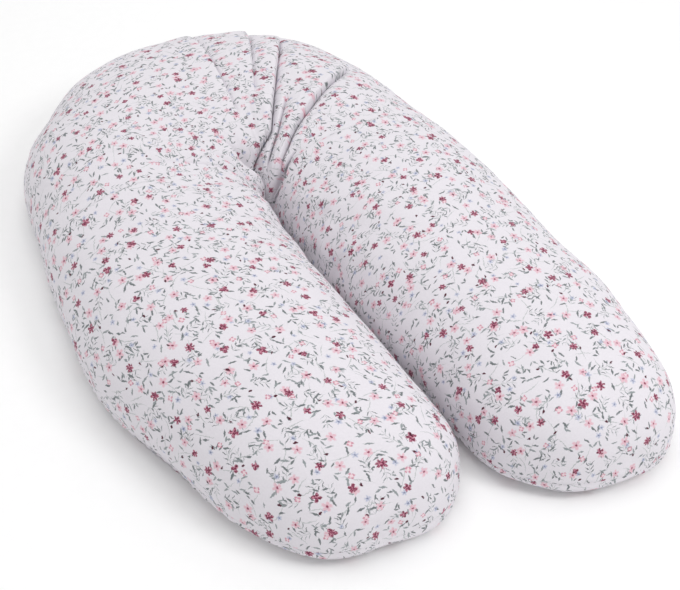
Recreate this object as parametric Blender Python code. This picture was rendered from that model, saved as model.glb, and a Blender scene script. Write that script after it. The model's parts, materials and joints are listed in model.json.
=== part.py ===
"""A long nursing and pregnancy pillow, folded at its middle so that its two arms lie side by side.

Frame: metres, +Z up, the pillow lies on z = 0. X runs across the two arms, +Y points from the arms'
tips towards the bend. The origin is under the middle of the whole pillow.

Each layer of the pillow (cover, liner, filling) is cut at the crotch line into the bend and the two
arms, because the arms swing open about upright hinges at the outer edges of that line.
"""

import math

import bmesh
import bpy
import numpy as np
from mathutils import Matrix, Vector

# Plan of the pillow, seen from above
PILLOW_WIDTH = 0.600  # across both arms, where they are widest
BACK_RADIUS = 0.276  # the round outer edge of the bend
BEND_LENGTH = 0.403  # from the crotch to the outer edge of the bend
ARM_LENGTH = 0.560  # from the crotch to a tip, for a pillow folded exactly in the middle
FOLD_SHIFT = 0.020  # how far the fold lies off the pillow's middle: the left arm is shorter
ARM_SPREAD = 0.010  # how much further out the shorter arm reaches than the longer one, each way
WIDEST_BELOW_CROTCH = 0.180
LOWER_WIDTH_SHARE = 0.875  # of the widest half width, at the start of the tip's round
LOWER_ABOVE_TIP = 0.140
TIP_FROM_SLIT = 0.166  # the tip's furthest point, from the slit between the arms
INNER_CORNER = (0.022, 0.037)  # where the tip's round meets the slit, from the slit and above the tip
SLIT_WIDTH = 0.009  # between the two arms at the crotch
LEFT_SWEEP = 0.018  # how far each tip is bent towards +X
RIGHT_SWEEP = 0.036

# Section across one arm
PILLOW_HEIGHT = 0.140
SEAM_HEIGHT = 0.024  # the cover's edge seam above the floor
TOP_ROUNDNESS = 2.35  # superellipse exponents: 2 is an ellipse, more is boxier
BOTTOM_ROUNDNESS = 2.6
FLAT_SHARE = 0.45  # of the section that lies flat on the floor
TAPER = 0.75  # how the height follows the width towards a tip

# Layers, measured inwards from the pillow's outside
COVER_THICK = 0.0010
LINER_THICK = 0.0008
LAYER_GAP = 0.0004
SEAM_GAP = 0.0004  # between the top and the bottom panel of one layer
JOINT_GAP = 0.0008  # between the bend and an arm

# Zip, in the back seam of the bend
ZIP_HALF_ANGLE = 60.0  # degrees of the back's round on each side of its middle
ZIP_SLOT_HEIGHT = 0.0110  # between the edges of the two cover panels
ZIP_ROOM = 0.0040  # how far the inner layers stand back behind the zip
ZIP_CLEARANCE = 0.0004
SLOT_RUN_OUT = 0.0090  # over which the slot closes past the zip's end
TAPE_THICK = 0.0005
COIL_WIDTH = 0.0019
COIL_THICK = 0.0014
CHAIN_GAP = 0.0013  # between the two coils, for the slider's post
SLIDER_LENGTH = 0.0100
SLIDER_PLATE = 0.0010
POST_WIDTH = 0.0005
POST_LENGTH = 0.0030
EAR_THICK = 0.0010
EAR_SPACING = 0.0036  # between the two ears that hold the pull's pin
PIN_RADIUS = 0.0007
EYE_RADIUS = 0.0018
EYE_CLEARANCE = 0.0003
PULL_LENGTH = 0.0260
PULL_WIDTH = 0.0060
PULL_THICK = 0.0012  # at its neck
GRIP_THICK = 0.00118
STOP_LENGTH = 0.0022

# Care label, sewn into the back seam beside the zip
LABEL_LENGTH = 0.0240
LABEL_DROP = 0.0180
LABEL_THICK = 0.0006
LABEL_ANGLE = 12.0  # degrees from +X to the label's middle, about the back's centre

# How finely the soft pieces are divided
BEND_SIDE_STEPS = 5  # from the crotch line to the zip's end
ZIP_STEPS = 16
ARM_STEPS = 11
TOP_STEPS = 8
FOOT_STEPS = 3  # each rounded side of the bottom panel
ARC_STEP = 3.0  # degrees for each straight piece of the zip
EDGE_POINTS = 400  # along the spline of an arm's edge
BACK_POINTS = 60  # along a quarter of the back's round
ROD_SIDES = 16
SHARP_ANGLE = 50.0  # degrees between faces, above which an edge stays crisp
SAME_PLACE = 1e-6  # points nearer than this are one point

# Directions in which the spline of an arm's edge starts at the back and ends at the slit
EDGE_START = (0.0, -0.5)
EDGE_END = (0.0, 0.4)

# Derived places
CROTCH_Y = (ARM_LENGTH + FOLD_SHIFT - BEND_LENGTH) / 2
BACK_Y = CROTCH_Y + BEND_LENGTH
BACK_CENTRE_Y = BACK_Y - BACK_RADIUS
HALF_WIDTH = PILLOW_WIDTH / 2
HALF_WIDTHS = {"left": HALF_WIDTH + ARM_SPREAD, "right": HALF_WIDTH - ARM_SPREAD}
SLIT_HALF = SLIT_WIDTH / 2
LAYER_STEP = LAYER_GAP + COVER_THICK
SIDES = {"left": -1, "right": 1}
ARM_LENGTHS = {"left": ARM_LENGTH - FOLD_SHIFT, "right": ARM_LENGTH + FOLD_SHIFT}
SWEEPS = {"left": LEFT_SWEEP, "right": RIGHT_SWEEP}


def clear_scene():
    for existing in list(bpy.data.objects):
        bpy.data.objects.remove(existing)


def material(name, colour, roughness, metallic=0.0):
    made = bpy.data.materials.new(name)
    made.use_nodes = True
    shader = made.node_tree.nodes["Principled BSDF"]
    shader.inputs["Base Color"].default_value = (*colour, 1.0)
    shader.inputs["Roughness"].default_value = roughness
    shader.inputs["Metallic"].default_value = metallic
    return made


def link(name, mesh, finish, parent=None):
    """A new object in the scene, made from a mesh in world space and parented without moving it."""
    piece = bpy.data.objects.new(name, mesh)
    bpy.context.scene.collection.objects.link(piece)
    mesh.materials.append(finish)
    if parent is not None:
        piece.parent = parent
        piece.matrix_parent_inverse = parent.matrix_world.inverted()
    return piece


def pivot(name, place):
    """An empty that stands on a joint's axis."""
    empty = bpy.data.objects.new(name, None)
    empty.location = place
    bpy.context.scene.collection.objects.link(empty)
    bpy.context.view_layer.update()
    return empty


def smooth_curve(points, start_slope, end_slope, count):
    """Points along a cubic spline through the given points, with set directions at its ends."""
    points = np.array(points, float)
    steps = np.sqrt(np.linalg.norm(np.diff(points, axis=0), axis=1))
    knots = np.concatenate([[0.0], np.cumsum(steps)])
    size = len(points)
    system = np.zeros((size, size))
    wanted = np.zeros((size, 2))
    system[0, 0] = system[-1, -1] = 1.0
    wanted[0] = start_slope
    wanted[-1] = end_slope
    for i in range(1, size - 1):
        before, after = steps[i - 1], steps[i]
        system[i, i - 1 : i + 2] = [after, 2 * (before + after), before]
        rise_before = (points[i] - points[i - 1]) / before
        rise_after = (points[i + 1] - points[i]) / after
        wanted[i] = 3 * (after * rise_before + before * rise_after)
    slopes = np.linalg.solve(system, wanted)
    made = []
    for t in np.linspace(0.0, knots[-1], count):
        i = min(int(np.searchsorted(knots, t, side="right")) - 1, size - 2)
        span = steps[i]
        s = (t - knots[i]) / span
        made.append(
            (2 * s**3 - 3 * s**2 + 1) * points[i]
            + (s**3 - 2 * s**2 + s) * span * slopes[i]
            + (3 * s**2 - 2 * s**3) * points[i + 1]
            + (s**3 - s**2) * span * slopes[i + 1]
        )
    return np.array(made)


def arm_outline(side):
    """The outer and the inner edge of a straight arm on the +X side, each from the tip upwards."""
    tip_y = CROTCH_Y - ARM_LENGTHS[side]
    half_width = HALF_WIDTHS[side]
    through = [
        (BACK_RADIUS, BACK_CENTRE_Y),
        (half_width, CROTCH_Y - WIDEST_BELOW_CROTCH),
        (half_width * LOWER_WIDTH_SHARE, tip_y + LOWER_ABOVE_TIP),
        (TIP_FROM_SLIT * half_width / HALF_WIDTH, tip_y),
        (INNER_CORNER[0], tip_y + INNER_CORNER[1]),
        (SLIT_HALF, tip_y + LOWER_ABOVE_TIP),
    ]
    edge = smooth_curve(through, EDGE_START, EDGE_END, EDGE_POINTS)
    lowest = int(np.argmin(edge[:, 1]))
    return edge[lowest::-1], edge[lowest:]


def outer_x(y, side):
    """The outer edge's distance from the slit's middle, at or below the back's centre."""
    outer, _ = arm_outline(side)
    return float(np.interp(y, outer[:, 1], outer[:, 0]))


def fan_reach(angle, side):
    """How far the outer edge lies from the crotch in a direction, for the fan of sections in the bend."""
    outer, _ = arm_outline(side)
    round_part = [
        (BACK_RADIUS * math.cos(a), BACK_CENTRE_Y + BACK_RADIUS * math.sin(a))
        for a in np.linspace(math.pi / 2, 0.0, BACK_POINTS)
    ]
    edge = np.array(round_part + [tuple(p) for p in outer[::-1] if p[1] < BACK_CENTRE_Y])
    directions = np.arctan2(edge[:, 1] - CROTCH_Y, edge[:, 0])
    reaches = np.hypot(edge[:, 0], edge[:, 1] - CROTCH_Y)
    order = np.argsort(directions)
    return float(np.interp(angle, directions[order], reaches[order]))


def crotch_x():
    """Where the slit begins, so that the origin lies under the middle of the whole pillow."""
    edges = {}
    for side in SIDES:
        outer, _ = arm_outline(side)
        run = np.clip((CROTCH_Y - outer[:, 1]) / ARM_LENGTHS[side], 0.0, 1.0)
        edges[side] = np.max(SIDES[side] * (SIDES[side] * outer[:, 0] + SWEEPS[side] * run**2))
    return (edges["left"] - edges["right"]) / 2


def degrees_of(length):
    """The angle that a length takes along the back's round."""
    return math.degrees(length / BACK_RADIUS)


def fan_direction(back_angle):
    """The direction from the crotch to a point on the back's round, which is given about its own centre."""
    a = math.radians(back_angle)
    return math.atan2(BACK_CENTRE_Y + BACK_RADIUS * math.sin(a) - CROTCH_Y, BACK_RADIUS * math.cos(a))


def bend_directions():
    """The sections' directions round the bend, with one at each end of the zip's slot."""
    slot_half = ZIP_HALF_ANGLE + degrees_of(ZIP_CLEARANCE)
    closed_half = slot_half + degrees_of(SLOT_RUN_OUT)
    along_zip = [fan_direction(90 + a) for a in np.linspace(slot_half, -slot_half, ZIP_STEPS + 1)]
    before = np.linspace(math.pi, fan_direction(90 + closed_half), BEND_SIDE_STEPS + 1)
    after = np.linspace(fan_direction(90 - closed_half), 0.0, BEND_SIDE_STEPS + 1)
    return [*before, *along_zip, *after]


def bend_chords():
    """Inner and outer end of each section in the bend, from the left arm round to the right one."""
    chords = []
    crotch = np.array([CROTCH_X, CROTCH_Y])
    for angle in bend_directions():
        side = "left" if angle > math.pi / 2 else "right"
        from_axis = math.pi - angle if side == "left" else angle
        along = np.array([math.cos(angle), math.sin(angle)])
        reach = fan_reach(from_axis, side)
        chords.append((crotch + along * SLIT_HALF, crotch + along * reach))
    return chords


def arm_chords(side):
    """Inner and outer end of each section of an arm, from just below the crotch to the tip."""
    length = ARM_LENGTHS[side]
    outer, inner = arm_outline(side)
    chords = []
    for turn in np.linspace(0.0, math.pi / 2, ARM_STEPS + 1):
        run = JOINT_GAP + (length - JOINT_GAP) * math.sin(turn)
        y = CROTCH_Y - run
        x_outer = np.interp(y, outer[:, 1], outer[:, 0])
        x_inner = np.interp(y, inner[:, 1], inner[:, 0], right=SLIT_HALF)
        bent = SWEEPS[side] * (run / length) ** 2
        if turn == math.pi / 2:
            x_inner = x_outer = outer[0, 0]
        bent += CROTCH_X
        ends = [SIDES[side] * x_inner + bent, SIDES[side] * x_outer + bent]
        chords.append((np.array([ends[0], y]), np.array([ends[1], y])))
    return chords


def section(inner_end, outer_end):
    """One closed section: over the top from the inner to the outer seam, then back under the bottom.

    The panels are lifted and lowered by half the seam's gap, so the section is that much shorter
    above and below its seam, and the pillow keeps its height and stands on z = 0.
    """
    centre = (inner_end + outer_end) / 2
    half = (outer_end - inner_end) / 2
    share = min(1.0, np.linalg.norm(half) / (HALF_WIDTH / 2))
    rise = (PILLOW_HEIGHT - SEAM_HEIGHT - SEAM_GAP / 2) * share**TAPER
    fall = (SEAM_HEIGHT - SEAM_GAP / 2) * min(1.0, 2 * share) ** TAPER
    points = []
    for turn in np.linspace(math.pi, 0.0, TOP_STEPS + 1):
        across = math.cos(turn)
        up = (1 - abs(across) ** TOP_ROUNDNESS) ** (1 / TOP_ROUNDNESS)
        points.append((*(centre + half * across), SEAM_HEIGHT + rise * up))
    foot = [math.sin(turn) for turn in np.linspace(math.pi / 2, 0.0, FOOT_STEPS + 1)][1:]
    for side, shares in ((1, foot), (-1, foot[::-1])):
        for out in shares:
            across = side * (FLAT_SHARE + (1 - FLAT_SHARE) * out)
            down = (1 - out**BOTTOM_ROUNDNESS) ** (1 / BOTTOM_ROUNDNESS)
            points.append((*(centre + half * across), SEAM_HEIGHT - fall * down))
    return points


def form(chords):
    """The pillow's outside over a run of sections, with its outward directions: two arrays."""
    rings = np.array([section(*chord) for chord in chords])
    count = rings.shape[1]
    mesh = bmesh.new()
    corners = [[mesh.verts.new(p) for p in ring] for ring in rings]
    for one, two in zip(corners, corners[1:]):
        for j in range(count):
            k = (j + 1) % count
            mesh.faces.new((one[j], one[k], two[k], two[j]))
    bmesh.ops.recalc_face_normals(mesh, faces=mesh.faces)
    mesh.normal_update()
    outward = np.array([[v.normal[:] for v in ring] for ring in corners])
    mesh.free()
    centres = rings.mean(axis=1, keepdims=True)
    if ((rings - centres) * outward).sum() < 0:
        outward = -outward
    return rings, outward


def squared_off(rings, outward):
    """Keeps each cut end in its own plane, the seam's edges level, and a tip's one point straight out."""
    for seam_column in (0, TOP_STEPS):
        outward[:, seam_column, 2] = 0.0
    for end in (0, -1):
        if np.ptp(rings[end], axis=0).max() < SAME_PLACE:
            outward[end] = np.array([0.0, -1.0, 0.0])
        else:
            outward[end, :, 1] = 0.0
    return outward / np.linalg.norm(outward, axis=2, keepdims=True)


def at_depth(rings, outward, depth, lift=0.0):
    """The form's points moved inwards, and upwards where lift is given."""
    moved = rings - outward * depth
    moved[..., 2] += lift
    return moved


def solid_between(name, outside, inside, finish, parent):
    """A closed shell between two grids of points: both faces and the rim round them."""
    rows, columns = outside.shape[:2]
    mesh = bmesh.new()
    grids = [[[mesh.verts.new(p) for p in row] for row in grid] for grid in (outside, inside)]
    for grid in grids:
        for i in range(rows - 1):
            for j in range(columns - 1):
                mesh.faces.new((grid[i][j], grid[i][j + 1], grid[i + 1][j + 1], grid[i + 1][j]))
    rim = [(0, j) for j in range(columns)]
    rim += [(i, columns - 1) for i in range(1, rows)]
    rim += [(rows - 1, j) for j in range(columns - 2, -1, -1)]
    rim += [(i, 0) for i in range(rows - 2, 0, -1)]
    for (a, b), (c, d) in zip(rim, rim[1:] + rim[:1]):
        mesh.faces.new((grids[0][a][b], grids[0][c][d], grids[1][c][d], grids[1][a][b]))
    return close_up(name, mesh, finish, parent)


def close_up(name, mesh, finish, parent):
    """Welds a tip's points into one, turns all faces outwards and makes the object."""
    bmesh.ops.remove_doubles(mesh, verts=mesh.verts, dist=SAME_PLACE)
    bmesh.ops.dissolve_degenerate(mesh, edges=mesh.edges, dist=SAME_PLACE / 10)
    bmesh.ops.recalc_face_normals(mesh, faces=mesh.faces)
    data = bpy.data.meshes.new(name)
    mesh.to_mesh(data)
    mesh.free()
    data.shade_smooth()
    data.set_sharp_from_angle(angle=math.radians(SHARP_ANGLE))
    return link(name, data, finish, parent)


def near_zip(region, count):
    """1 at each section that crosses the zip's slot, and 0 at the others."""
    share = np.zeros(count)
    if region == "bend":
        share[BEND_SIDE_STEPS + 1 : BEND_SIDE_STEPS + ZIP_STEPS + 2] = 1.0
    return share


def panels(region, chords, parent, finishes):
    """The cover's and the liner's two panels and the filling over one region of the pillow."""
    rings, outward = form(chords)
    outward = squared_off(rings, outward)
    zip_share = near_zip(region, len(chords))
    seam = SEAM_GAP / 2
    top = slice(0, TOP_STEPS + 1)
    bottom_columns = list(range(TOP_STEPS, rings.shape[1])) + [0]

    def sheet(name, columns, depth, thick, lift, finish):
        outside = at_depth(rings, outward, depth, lift)[:, columns]
        inside = at_depth(rings, outward, depth + thick, lift)[:, columns]
        solid_between(name, outside, inside, finish, parent)

    def with_slot(name, columns, slot_column, lift):
        """A cover panel, whose outer edge stands back from the seam to leave the zip's slot."""
        outside = at_depth(rings, outward, 0.0, lift)[:, columns]
        inside = at_depth(rings, outward, COVER_THICK, lift)[:, columns]
        back_off = math.copysign(ZIP_SLOT_HEIGHT / 2 - seam, lift) * zip_share
        outside[:, slot_column, 2] += back_off
        inside[:, slot_column, 2] += back_off
        solid_between(name, outside, inside, finishes["cover"], parent)

    with_slot(f"cover_top_{region}", top, TOP_STEPS, seam)
    with_slot(f"cover_bottom_{region}", bottom_columns, 0, -seam)
    inward = np.zeros_like(rings)
    for i, (inner_end, outer_end) in enumerate(chords):
        reach = np.linalg.norm(outer_end - inner_end)
        if reach > 0:
            inward[i, TOP_STEPS, :2] = (inner_end - outer_end) / reach * ZIP_ROOM * zip_share[i]
            for j in (TOP_STEPS - 1, TOP_STEPS + 1):
                inward[i, j] = inward[i, TOP_STEPS]
    rings = rings + inward
    liner = LAYER_STEP
    sheet(f"liner_top_{region}", top, liner, LINER_THICK, seam, finishes["liner"])
    sheet(f"liner_bottom_{region}", bottom_columns, liner, LINER_THICK, -seam, finishes["liner"])
    depth = liner + LINER_THICK + LAYER_GAP
    filling(f"filling_{region}", at_depth(rings, outward, depth), finishes["filling"], parent)


def filling(name, rings, finish, parent):
    """The fibre-ball filling of one region: a closed body through all its sections."""
    mesh = bmesh.new()
    corners = [[mesh.verts.new(p) for p in ring] for ring in rings]
    count = rings.shape[1]
    for one, two in zip(corners, corners[1:]):
        for j in range(count):
            k = (j + 1) % count
            mesh.faces.new((one[j], one[k], two[k], two[j]))
    for ring, points in ((corners[0], rings[0]), (corners[-1], rings[-1])):
        if np.ptp(points, axis=0).max() > SAME_PLACE:
            mesh.faces.new(ring)
    close_up(name, mesh, finish, parent)


def on_back(radius, angle):
    """A point in plan about the centre of the back's round."""
    return CROTCH_X + radius * math.cos(angle), BACK_CENTRE_Y + radius * math.sin(angle)


def arc_strip(name, span, height, radii, finish, parent=None):
    """A closed strip that follows the back's round: span in degrees, height and radii from-to."""
    steps = max(2, round((span[1] - span[0]) / ARC_STEP))
    turns = np.radians(np.linspace(span[0], span[1], steps + 1))
    outline = [(radii[0], height[0]), (radii[1], height[0]), (radii[1], height[1])]
    outline.append((radii[0], height[1]))
    mesh = bmesh.new()
    rings = []
    for a in turns:
        spots = [(*on_back(r, a), z) for r, z in outline]
        rings.append([mesh.verts.new(p) for p in spots])
    for one, two in zip(rings, rings[1:]):
        for j in range(4):
            k = (j + 1) % 4
            mesh.faces.new((one[j], one[k], two[k], two[j]))
    mesh.faces.new(rings[0])
    mesh.faces.new(rings[-1])
    return close_up(name, mesh, finish, parent)


def box(mesh, low, high):
    """Adds a closed box to a bmesh, between two corners."""
    low, high = Vector(low), Vector(high)
    place = Matrix.Translation((low + high) / 2) @ Matrix.Diagonal((*(high - low), 1.0))
    return bmesh.ops.create_cube(mesh, size=1.0, matrix=place)["verts"]


def rod(mesh, radius, low_z, high_z, centre):
    """Adds an upright closed cylinder to a bmesh."""
    place = Matrix.Translation((centre[0], centre[1], (low_z + high_z) / 2))
    bmesh.ops.create_cone(
        mesh, cap_ends=True, segments=ROD_SIDES, radius1=radius, radius2=radius,
        depth=high_z - low_z, matrix=place,
    )


def plain_object(name, mesh):
    """A helper object from a bmesh: a cutter or a block to join, which isn't part of the pillow."""
    data = bpy.data.meshes.new(name)
    mesh.to_mesh(data)
    mesh.free()
    helper = bpy.data.objects.new(name, data)
    bpy.context.scene.collection.objects.link(helper)
    helper.hide_render = True
    helper.display_type = "WIRE"
    return helper


def boolean(piece, helper, operation):
    change = piece.modifiers.new(helper.name, "BOOLEAN")
    change.operation = operation
    change.object = helper
    helper.parent = piece.parent
    helper.matrix_parent_inverse = piece.matrix_parent_inverse
    helper.matrix_basis = piece.matrix_basis


def zip_frame(angle):
    """Turns the slider's own axes onto the back: its X along the zip, its Y outwards."""
    a = math.radians(angle)
    along = Vector((math.sin(a), -math.cos(a), 0.0))
    outwards = Vector((math.cos(a), math.sin(a), 0.0))
    place = Vector((*on_back(BACK_RADIUS, a), SEAM_HEIGHT))
    turn = Matrix((along, outwards, Vector((0.0, 0.0, 1.0)))).transposed()
    return Matrix.Translation(place) @ turn.to_4x4()


def zip_parts(bend, finishes):
    """The chain in the back seam: two tapes, two coils and the stops at its ends."""
    first, last = 90 - ZIP_HALF_ANGLE, 90 + ZIP_HALF_ANGLE
    half_gap = CHAIN_GAP / 2
    edge = ZIP_SLOT_HEIGHT / 2 - ZIP_CLEARANCE
    tape = (BACK_RADIUS - ZIP_CLEARANCE - TAPE_THICK, BACK_RADIUS - ZIP_CLEARANCE)
    coil = (BACK_RADIUS, BACK_RADIUS + COIL_THICK)
    stop = degrees_of(STOP_LENGTH)
    clear = degrees_of(ZIP_CLEARANCE)
    for name, way in (("upper", 1), ("lower", -1)):
        def band(near, far):
            ends = (SEAM_HEIGHT + way * near, SEAM_HEIGHT + way * far)
            return (min(ends), max(ends))
        arc_strip(f"zip_tape_{name}", (first, last), band(half_gap, edge), tape, finishes["tape"], bend)
        coil_span = (first + stop + clear, last - stop - clear)
        coil_band = band(half_gap, half_gap + COIL_WIDTH)
        arc_strip(f"zip_coil_{name}", coil_span, coil_band, coil, finishes["coil"], bend)
        stop_span = (first, first + stop)
        arc_strip(f"zip_top_stop_{name}", stop_span, coil_band, coil, finishes["metal"], bend)
    whole = (SEAM_HEIGHT - half_gap - COIL_WIDTH, SEAM_HEIGHT + half_gap + COIL_WIDTH)
    arc_strip("zip_bottom_stop", (last - stop, last), whole, coil, finishes["metal"], bend)


def slider_angle():
    """Where the closed zip's slider rests: just past the top stops."""
    return 90 - ZIP_HALF_ANGLE + degrees_of(STOP_LENGTH + SLIDER_LENGTH / 2 + 2 * ZIP_CLEARANCE)


def pin_height():
    """The pull's pin above the back's round."""
    return COIL_THICK + ZIP_CLEARANCE + SLIDER_PLATE + EYE_RADIUS + EYE_CLEARANCE


def zip_slider(bend, finishes):
    """The slider: an outer and an inner plate joined by a post, with two ears and a pin for the pull."""
    centre = pivot("zip_run_axis", (CROTCH_X, BACK_CENTRE_Y, SEAM_HEIGHT))
    centre.parent = bend
    place = zip_frame(slider_angle())
    half_length = SLIDER_LENGTH / 2
    half_height = ZIP_SLOT_HEIGHT / 2 - ZIP_CLEARANCE
    outer = (COIL_THICK + ZIP_CLEARANCE, COIL_THICK + ZIP_CLEARANCE + SLIDER_PLATE)
    inner_face = -(ZIP_CLEARANCE + TAPE_THICK + ZIP_CLEARANCE)
    inner = (inner_face - SLIDER_PLATE, inner_face)
    mesh = bmesh.new()
    box(mesh, (-half_length, outer[0], -half_height), (half_length, outer[1], half_height))
    mesh.transform(place)
    data = bpy.data.meshes.new("zip_slider_body")
    mesh.to_mesh(data)
    mesh.free()
    slider = link("zip_slider_body", data, finishes["metal"], centre)
    bite = SLIDER_PLATE / 2
    ear_reach = pin_height() + PIN_RADIUS + EAR_THICK / 2
    blocks = {
        "inner_plate": ((-half_length, inner[0], -half_height), (half_length, inner[1], half_height)),
        "post": ((-POST_LENGTH / 2, inner[1] - bite, -POST_WIDTH / 2),
                 (POST_LENGTH / 2, outer[0] + bite, POST_WIDTH / 2)),
    }
    for name, way in (("upper_ear", 1), ("lower_ear", -1)):
        heights = sorted((way * EAR_SPACING / 2, way * (EAR_SPACING / 2 + EAR_THICK)))
        blocks[name] = ((-EYE_RADIUS, outer[1] - bite, heights[0]), (EYE_RADIUS, ear_reach, heights[1]))
    for name, (low, high) in blocks.items():
        block = bmesh.new()
        box(block, low, high)
        block.transform(place)
        boolean(slider, plain_object(f"slider_{name}", block), "UNION")
    pin = bmesh.new()
    pin_end = EAR_SPACING / 2 + EAR_THICK / 2
    rod(pin, PIN_RADIUS, -pin_end, pin_end, (0.0, pin_height()))
    pin.transform(place)
    boolean(slider, plain_object("slider_pin", pin), "UNION")
    return slider, place


def zip_pull(slider, place, finishes):
    """The pull tab: an eye round the slider's pin, a neck and a flat grip that lies over the chain."""
    hinge = pivot("pull_swing_axis", place @ Vector((0.0, pin_height(), 0.0)))
    hinge.parent = slider
    hinge.matrix_parent_inverse = slider.matrix_world.inverted()
    bpy.context.view_layer.update()
    neck = EAR_SPACING / 2 - EYE_CLEARANCE
    start = EYE_RADIUS + EYE_CLEARANCE + EAR_THICK
    middle = pin_height()
    mesh = bmesh.new()
    rod(mesh, EYE_RADIUS, -neck, neck, (0.0, middle))
    mesh.transform(place)
    data = bpy.data.meshes.new("zip_pull_tab")
    mesh.to_mesh(data)
    mesh.free()
    tab = link("zip_pull_tab", data, finishes["metal"], hinge)
    blocks = {
        "neck": ((-start - EYE_RADIUS, middle - PULL_THICK / 2, -neck),
                 (-PIN_RADIUS, middle + PULL_THICK / 2, neck)),
        "grip": ((-PULL_LENGTH, middle - GRIP_THICK / 2, -PULL_WIDTH / 2),
                 (-start, middle + GRIP_THICK / 2, PULL_WIDTH / 2)),
    }
    for name, (low, high) in blocks.items():
        block = bmesh.new()
        box(block, low, high)
        block.transform(place)
        boolean(tab, plain_object(f"pull_{name}", block), "UNION")
    hole = bmesh.new()
    rod(hole, PIN_RADIUS + EYE_CLEARANCE, -EAR_SPACING, EAR_SPACING, (0.0, middle))
    hole.transform(place)
    boolean(tab, plain_object("pull_eye_hole", hole), "DIFFERENCE")


def care_label(bend, finishes):
    """A blank folded label that hangs from the seam against the bottom panel."""
    half = degrees_of(LABEL_LENGTH) / 2
    drop = (SEAM_HEIGHT - LABEL_DROP, SEAM_HEIGHT)
    radii = (BACK_RADIUS + LAYER_GAP, BACK_RADIUS + LAYER_GAP + LABEL_THICK)
    span = (LABEL_ANGLE - half, LABEL_ANGLE + half)
    arc_strip("care_label", span, drop, radii, finishes["label"], bend)


CROTCH_X = crotch_x()


def build():
    clear_scene()
    finishes = {
        "cover": material("printed_cotton", (0.86, 0.83, 0.86), 0.85),
        "liner": material("white_liner_cotton", (0.90, 0.90, 0.88), 0.9),
        "filling": material("fibre_ball_filling", (0.93, 0.93, 0.93), 1.0),
        "tape": material("zip_tape", (0.88, 0.87, 0.89), 0.8),
        "coil": material("zip_coil", (0.86, 0.86, 0.88), 0.35),
        "metal": material("zip_metal", (0.75, 0.75, 0.76), 0.3, 1.0),
        "label": material("satin_label", (0.93, 0.93, 0.93), 0.5),
    }
    bend = pivot("bend", (0.0, 0.0, 0.0))
    panels("bend", bend_chords(), bend, finishes)
    for side, sign in SIDES.items():
        hinge_x = CROTCH_X + sign * outer_x(CROTCH_Y, side)
        hinge = pivot(f"{side}_arm_spread_axis", (hinge_x, CROTCH_Y, 0.0))
        hinge.parent = bend
        panels(f"{side}_arm", arm_chords(side), hinge, finishes)
    zip_parts(bend, finishes)
    slider, place = zip_slider(bend, finishes)
    zip_pull(slider, place, finishes)
    care_label(bend, finishes)


build()
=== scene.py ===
# %% [markdown]
# # A long nursing pillow
# A nursing pillow is a stuffed cotton tube, folded at its middle so that its two arms lie side by side.
# The frame brings in the engineering solids: they fix every size, place and joint. This lesson makes
# the cloth, the filling and the zip that a person would see, each in the place that its solid holds.

# %% Load the frame
import json
import math

import bpy
import numpy as np
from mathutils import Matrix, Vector, noise


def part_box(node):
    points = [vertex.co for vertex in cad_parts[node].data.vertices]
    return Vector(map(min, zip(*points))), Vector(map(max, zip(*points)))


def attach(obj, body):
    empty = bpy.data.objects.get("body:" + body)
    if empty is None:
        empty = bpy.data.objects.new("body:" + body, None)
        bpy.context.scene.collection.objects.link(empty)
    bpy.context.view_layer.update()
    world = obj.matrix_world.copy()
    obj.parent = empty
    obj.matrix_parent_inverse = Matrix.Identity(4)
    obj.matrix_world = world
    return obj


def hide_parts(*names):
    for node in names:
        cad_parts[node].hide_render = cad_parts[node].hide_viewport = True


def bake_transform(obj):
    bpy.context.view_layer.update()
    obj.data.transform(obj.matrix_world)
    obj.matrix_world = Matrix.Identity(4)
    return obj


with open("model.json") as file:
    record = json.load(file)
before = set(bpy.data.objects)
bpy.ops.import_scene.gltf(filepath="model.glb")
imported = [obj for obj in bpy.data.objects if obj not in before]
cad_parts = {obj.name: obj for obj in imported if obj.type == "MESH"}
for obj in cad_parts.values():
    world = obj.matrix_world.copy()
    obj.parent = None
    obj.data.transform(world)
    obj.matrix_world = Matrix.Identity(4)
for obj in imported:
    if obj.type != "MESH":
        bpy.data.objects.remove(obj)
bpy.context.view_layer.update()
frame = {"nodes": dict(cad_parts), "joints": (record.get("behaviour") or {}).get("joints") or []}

joints = {joint["name"]: joint for joint in frame["joints"]}

# %% [markdown]
# ## The pillow's measures
# Most sizes are read from the frame, so the cloth can't drift away from the solids. The zip's joint
# stands at the centre of the back's round, and the arms' joints stand on the crotch line, where the
# two arms part. The few values typed in here describe the outline that a pattern cutter would draw.

# %% Measures, in metres
CROTCH_X, BACK_CENTRE_Y, SEAM_HEIGHT = joints["zip_run"]["pos_m"]
CROTCH_Y = joints["left_arm_spread"]["pos_m"][1]
BACK_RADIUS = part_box("cover_top_bend")[1].y - BACK_CENTRE_Y
PILLOW_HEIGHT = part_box("cover_top_bend")[1].z
SIDES = {"left": -1, "right": 1}
TIP_Y = {side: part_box(f"cover_top_{side}_arm")[0].y for side in SIDES}
HALF_WIDTHS = {"left": 0.310, "right": 0.290}
SWEEPS = {"left": 0.018, "right": 0.036}  # how far each tip is bent towards +X
WIDEST_BELOW_CROTCH = 0.180
LOWER_WIDTH_SHARE = 0.875
LOWER_ABOVE_TIP = 0.140
TIP_SHARE = 0.553  # the tip's lowest point, as a share of the half width
INNER_CORNER = (0.022, 0.037)
SLIT_HALF = 0.0045
TOP_ROUNDNESS = 2.35  # a superellipse: 2 is an ellipse, more is boxier
BOTTOM_ROUNDNESS = 2.6
FLAT_SHARE = 0.45  # of the section that lies flat on the floor
TAPER = 0.75  # how the height follows the width towards a tip
print(f"back radius {BACK_RADIUS:.3f}, crotch at ({CROTCH_X:.4f}, {CROTCH_Y:.4f})")

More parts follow.
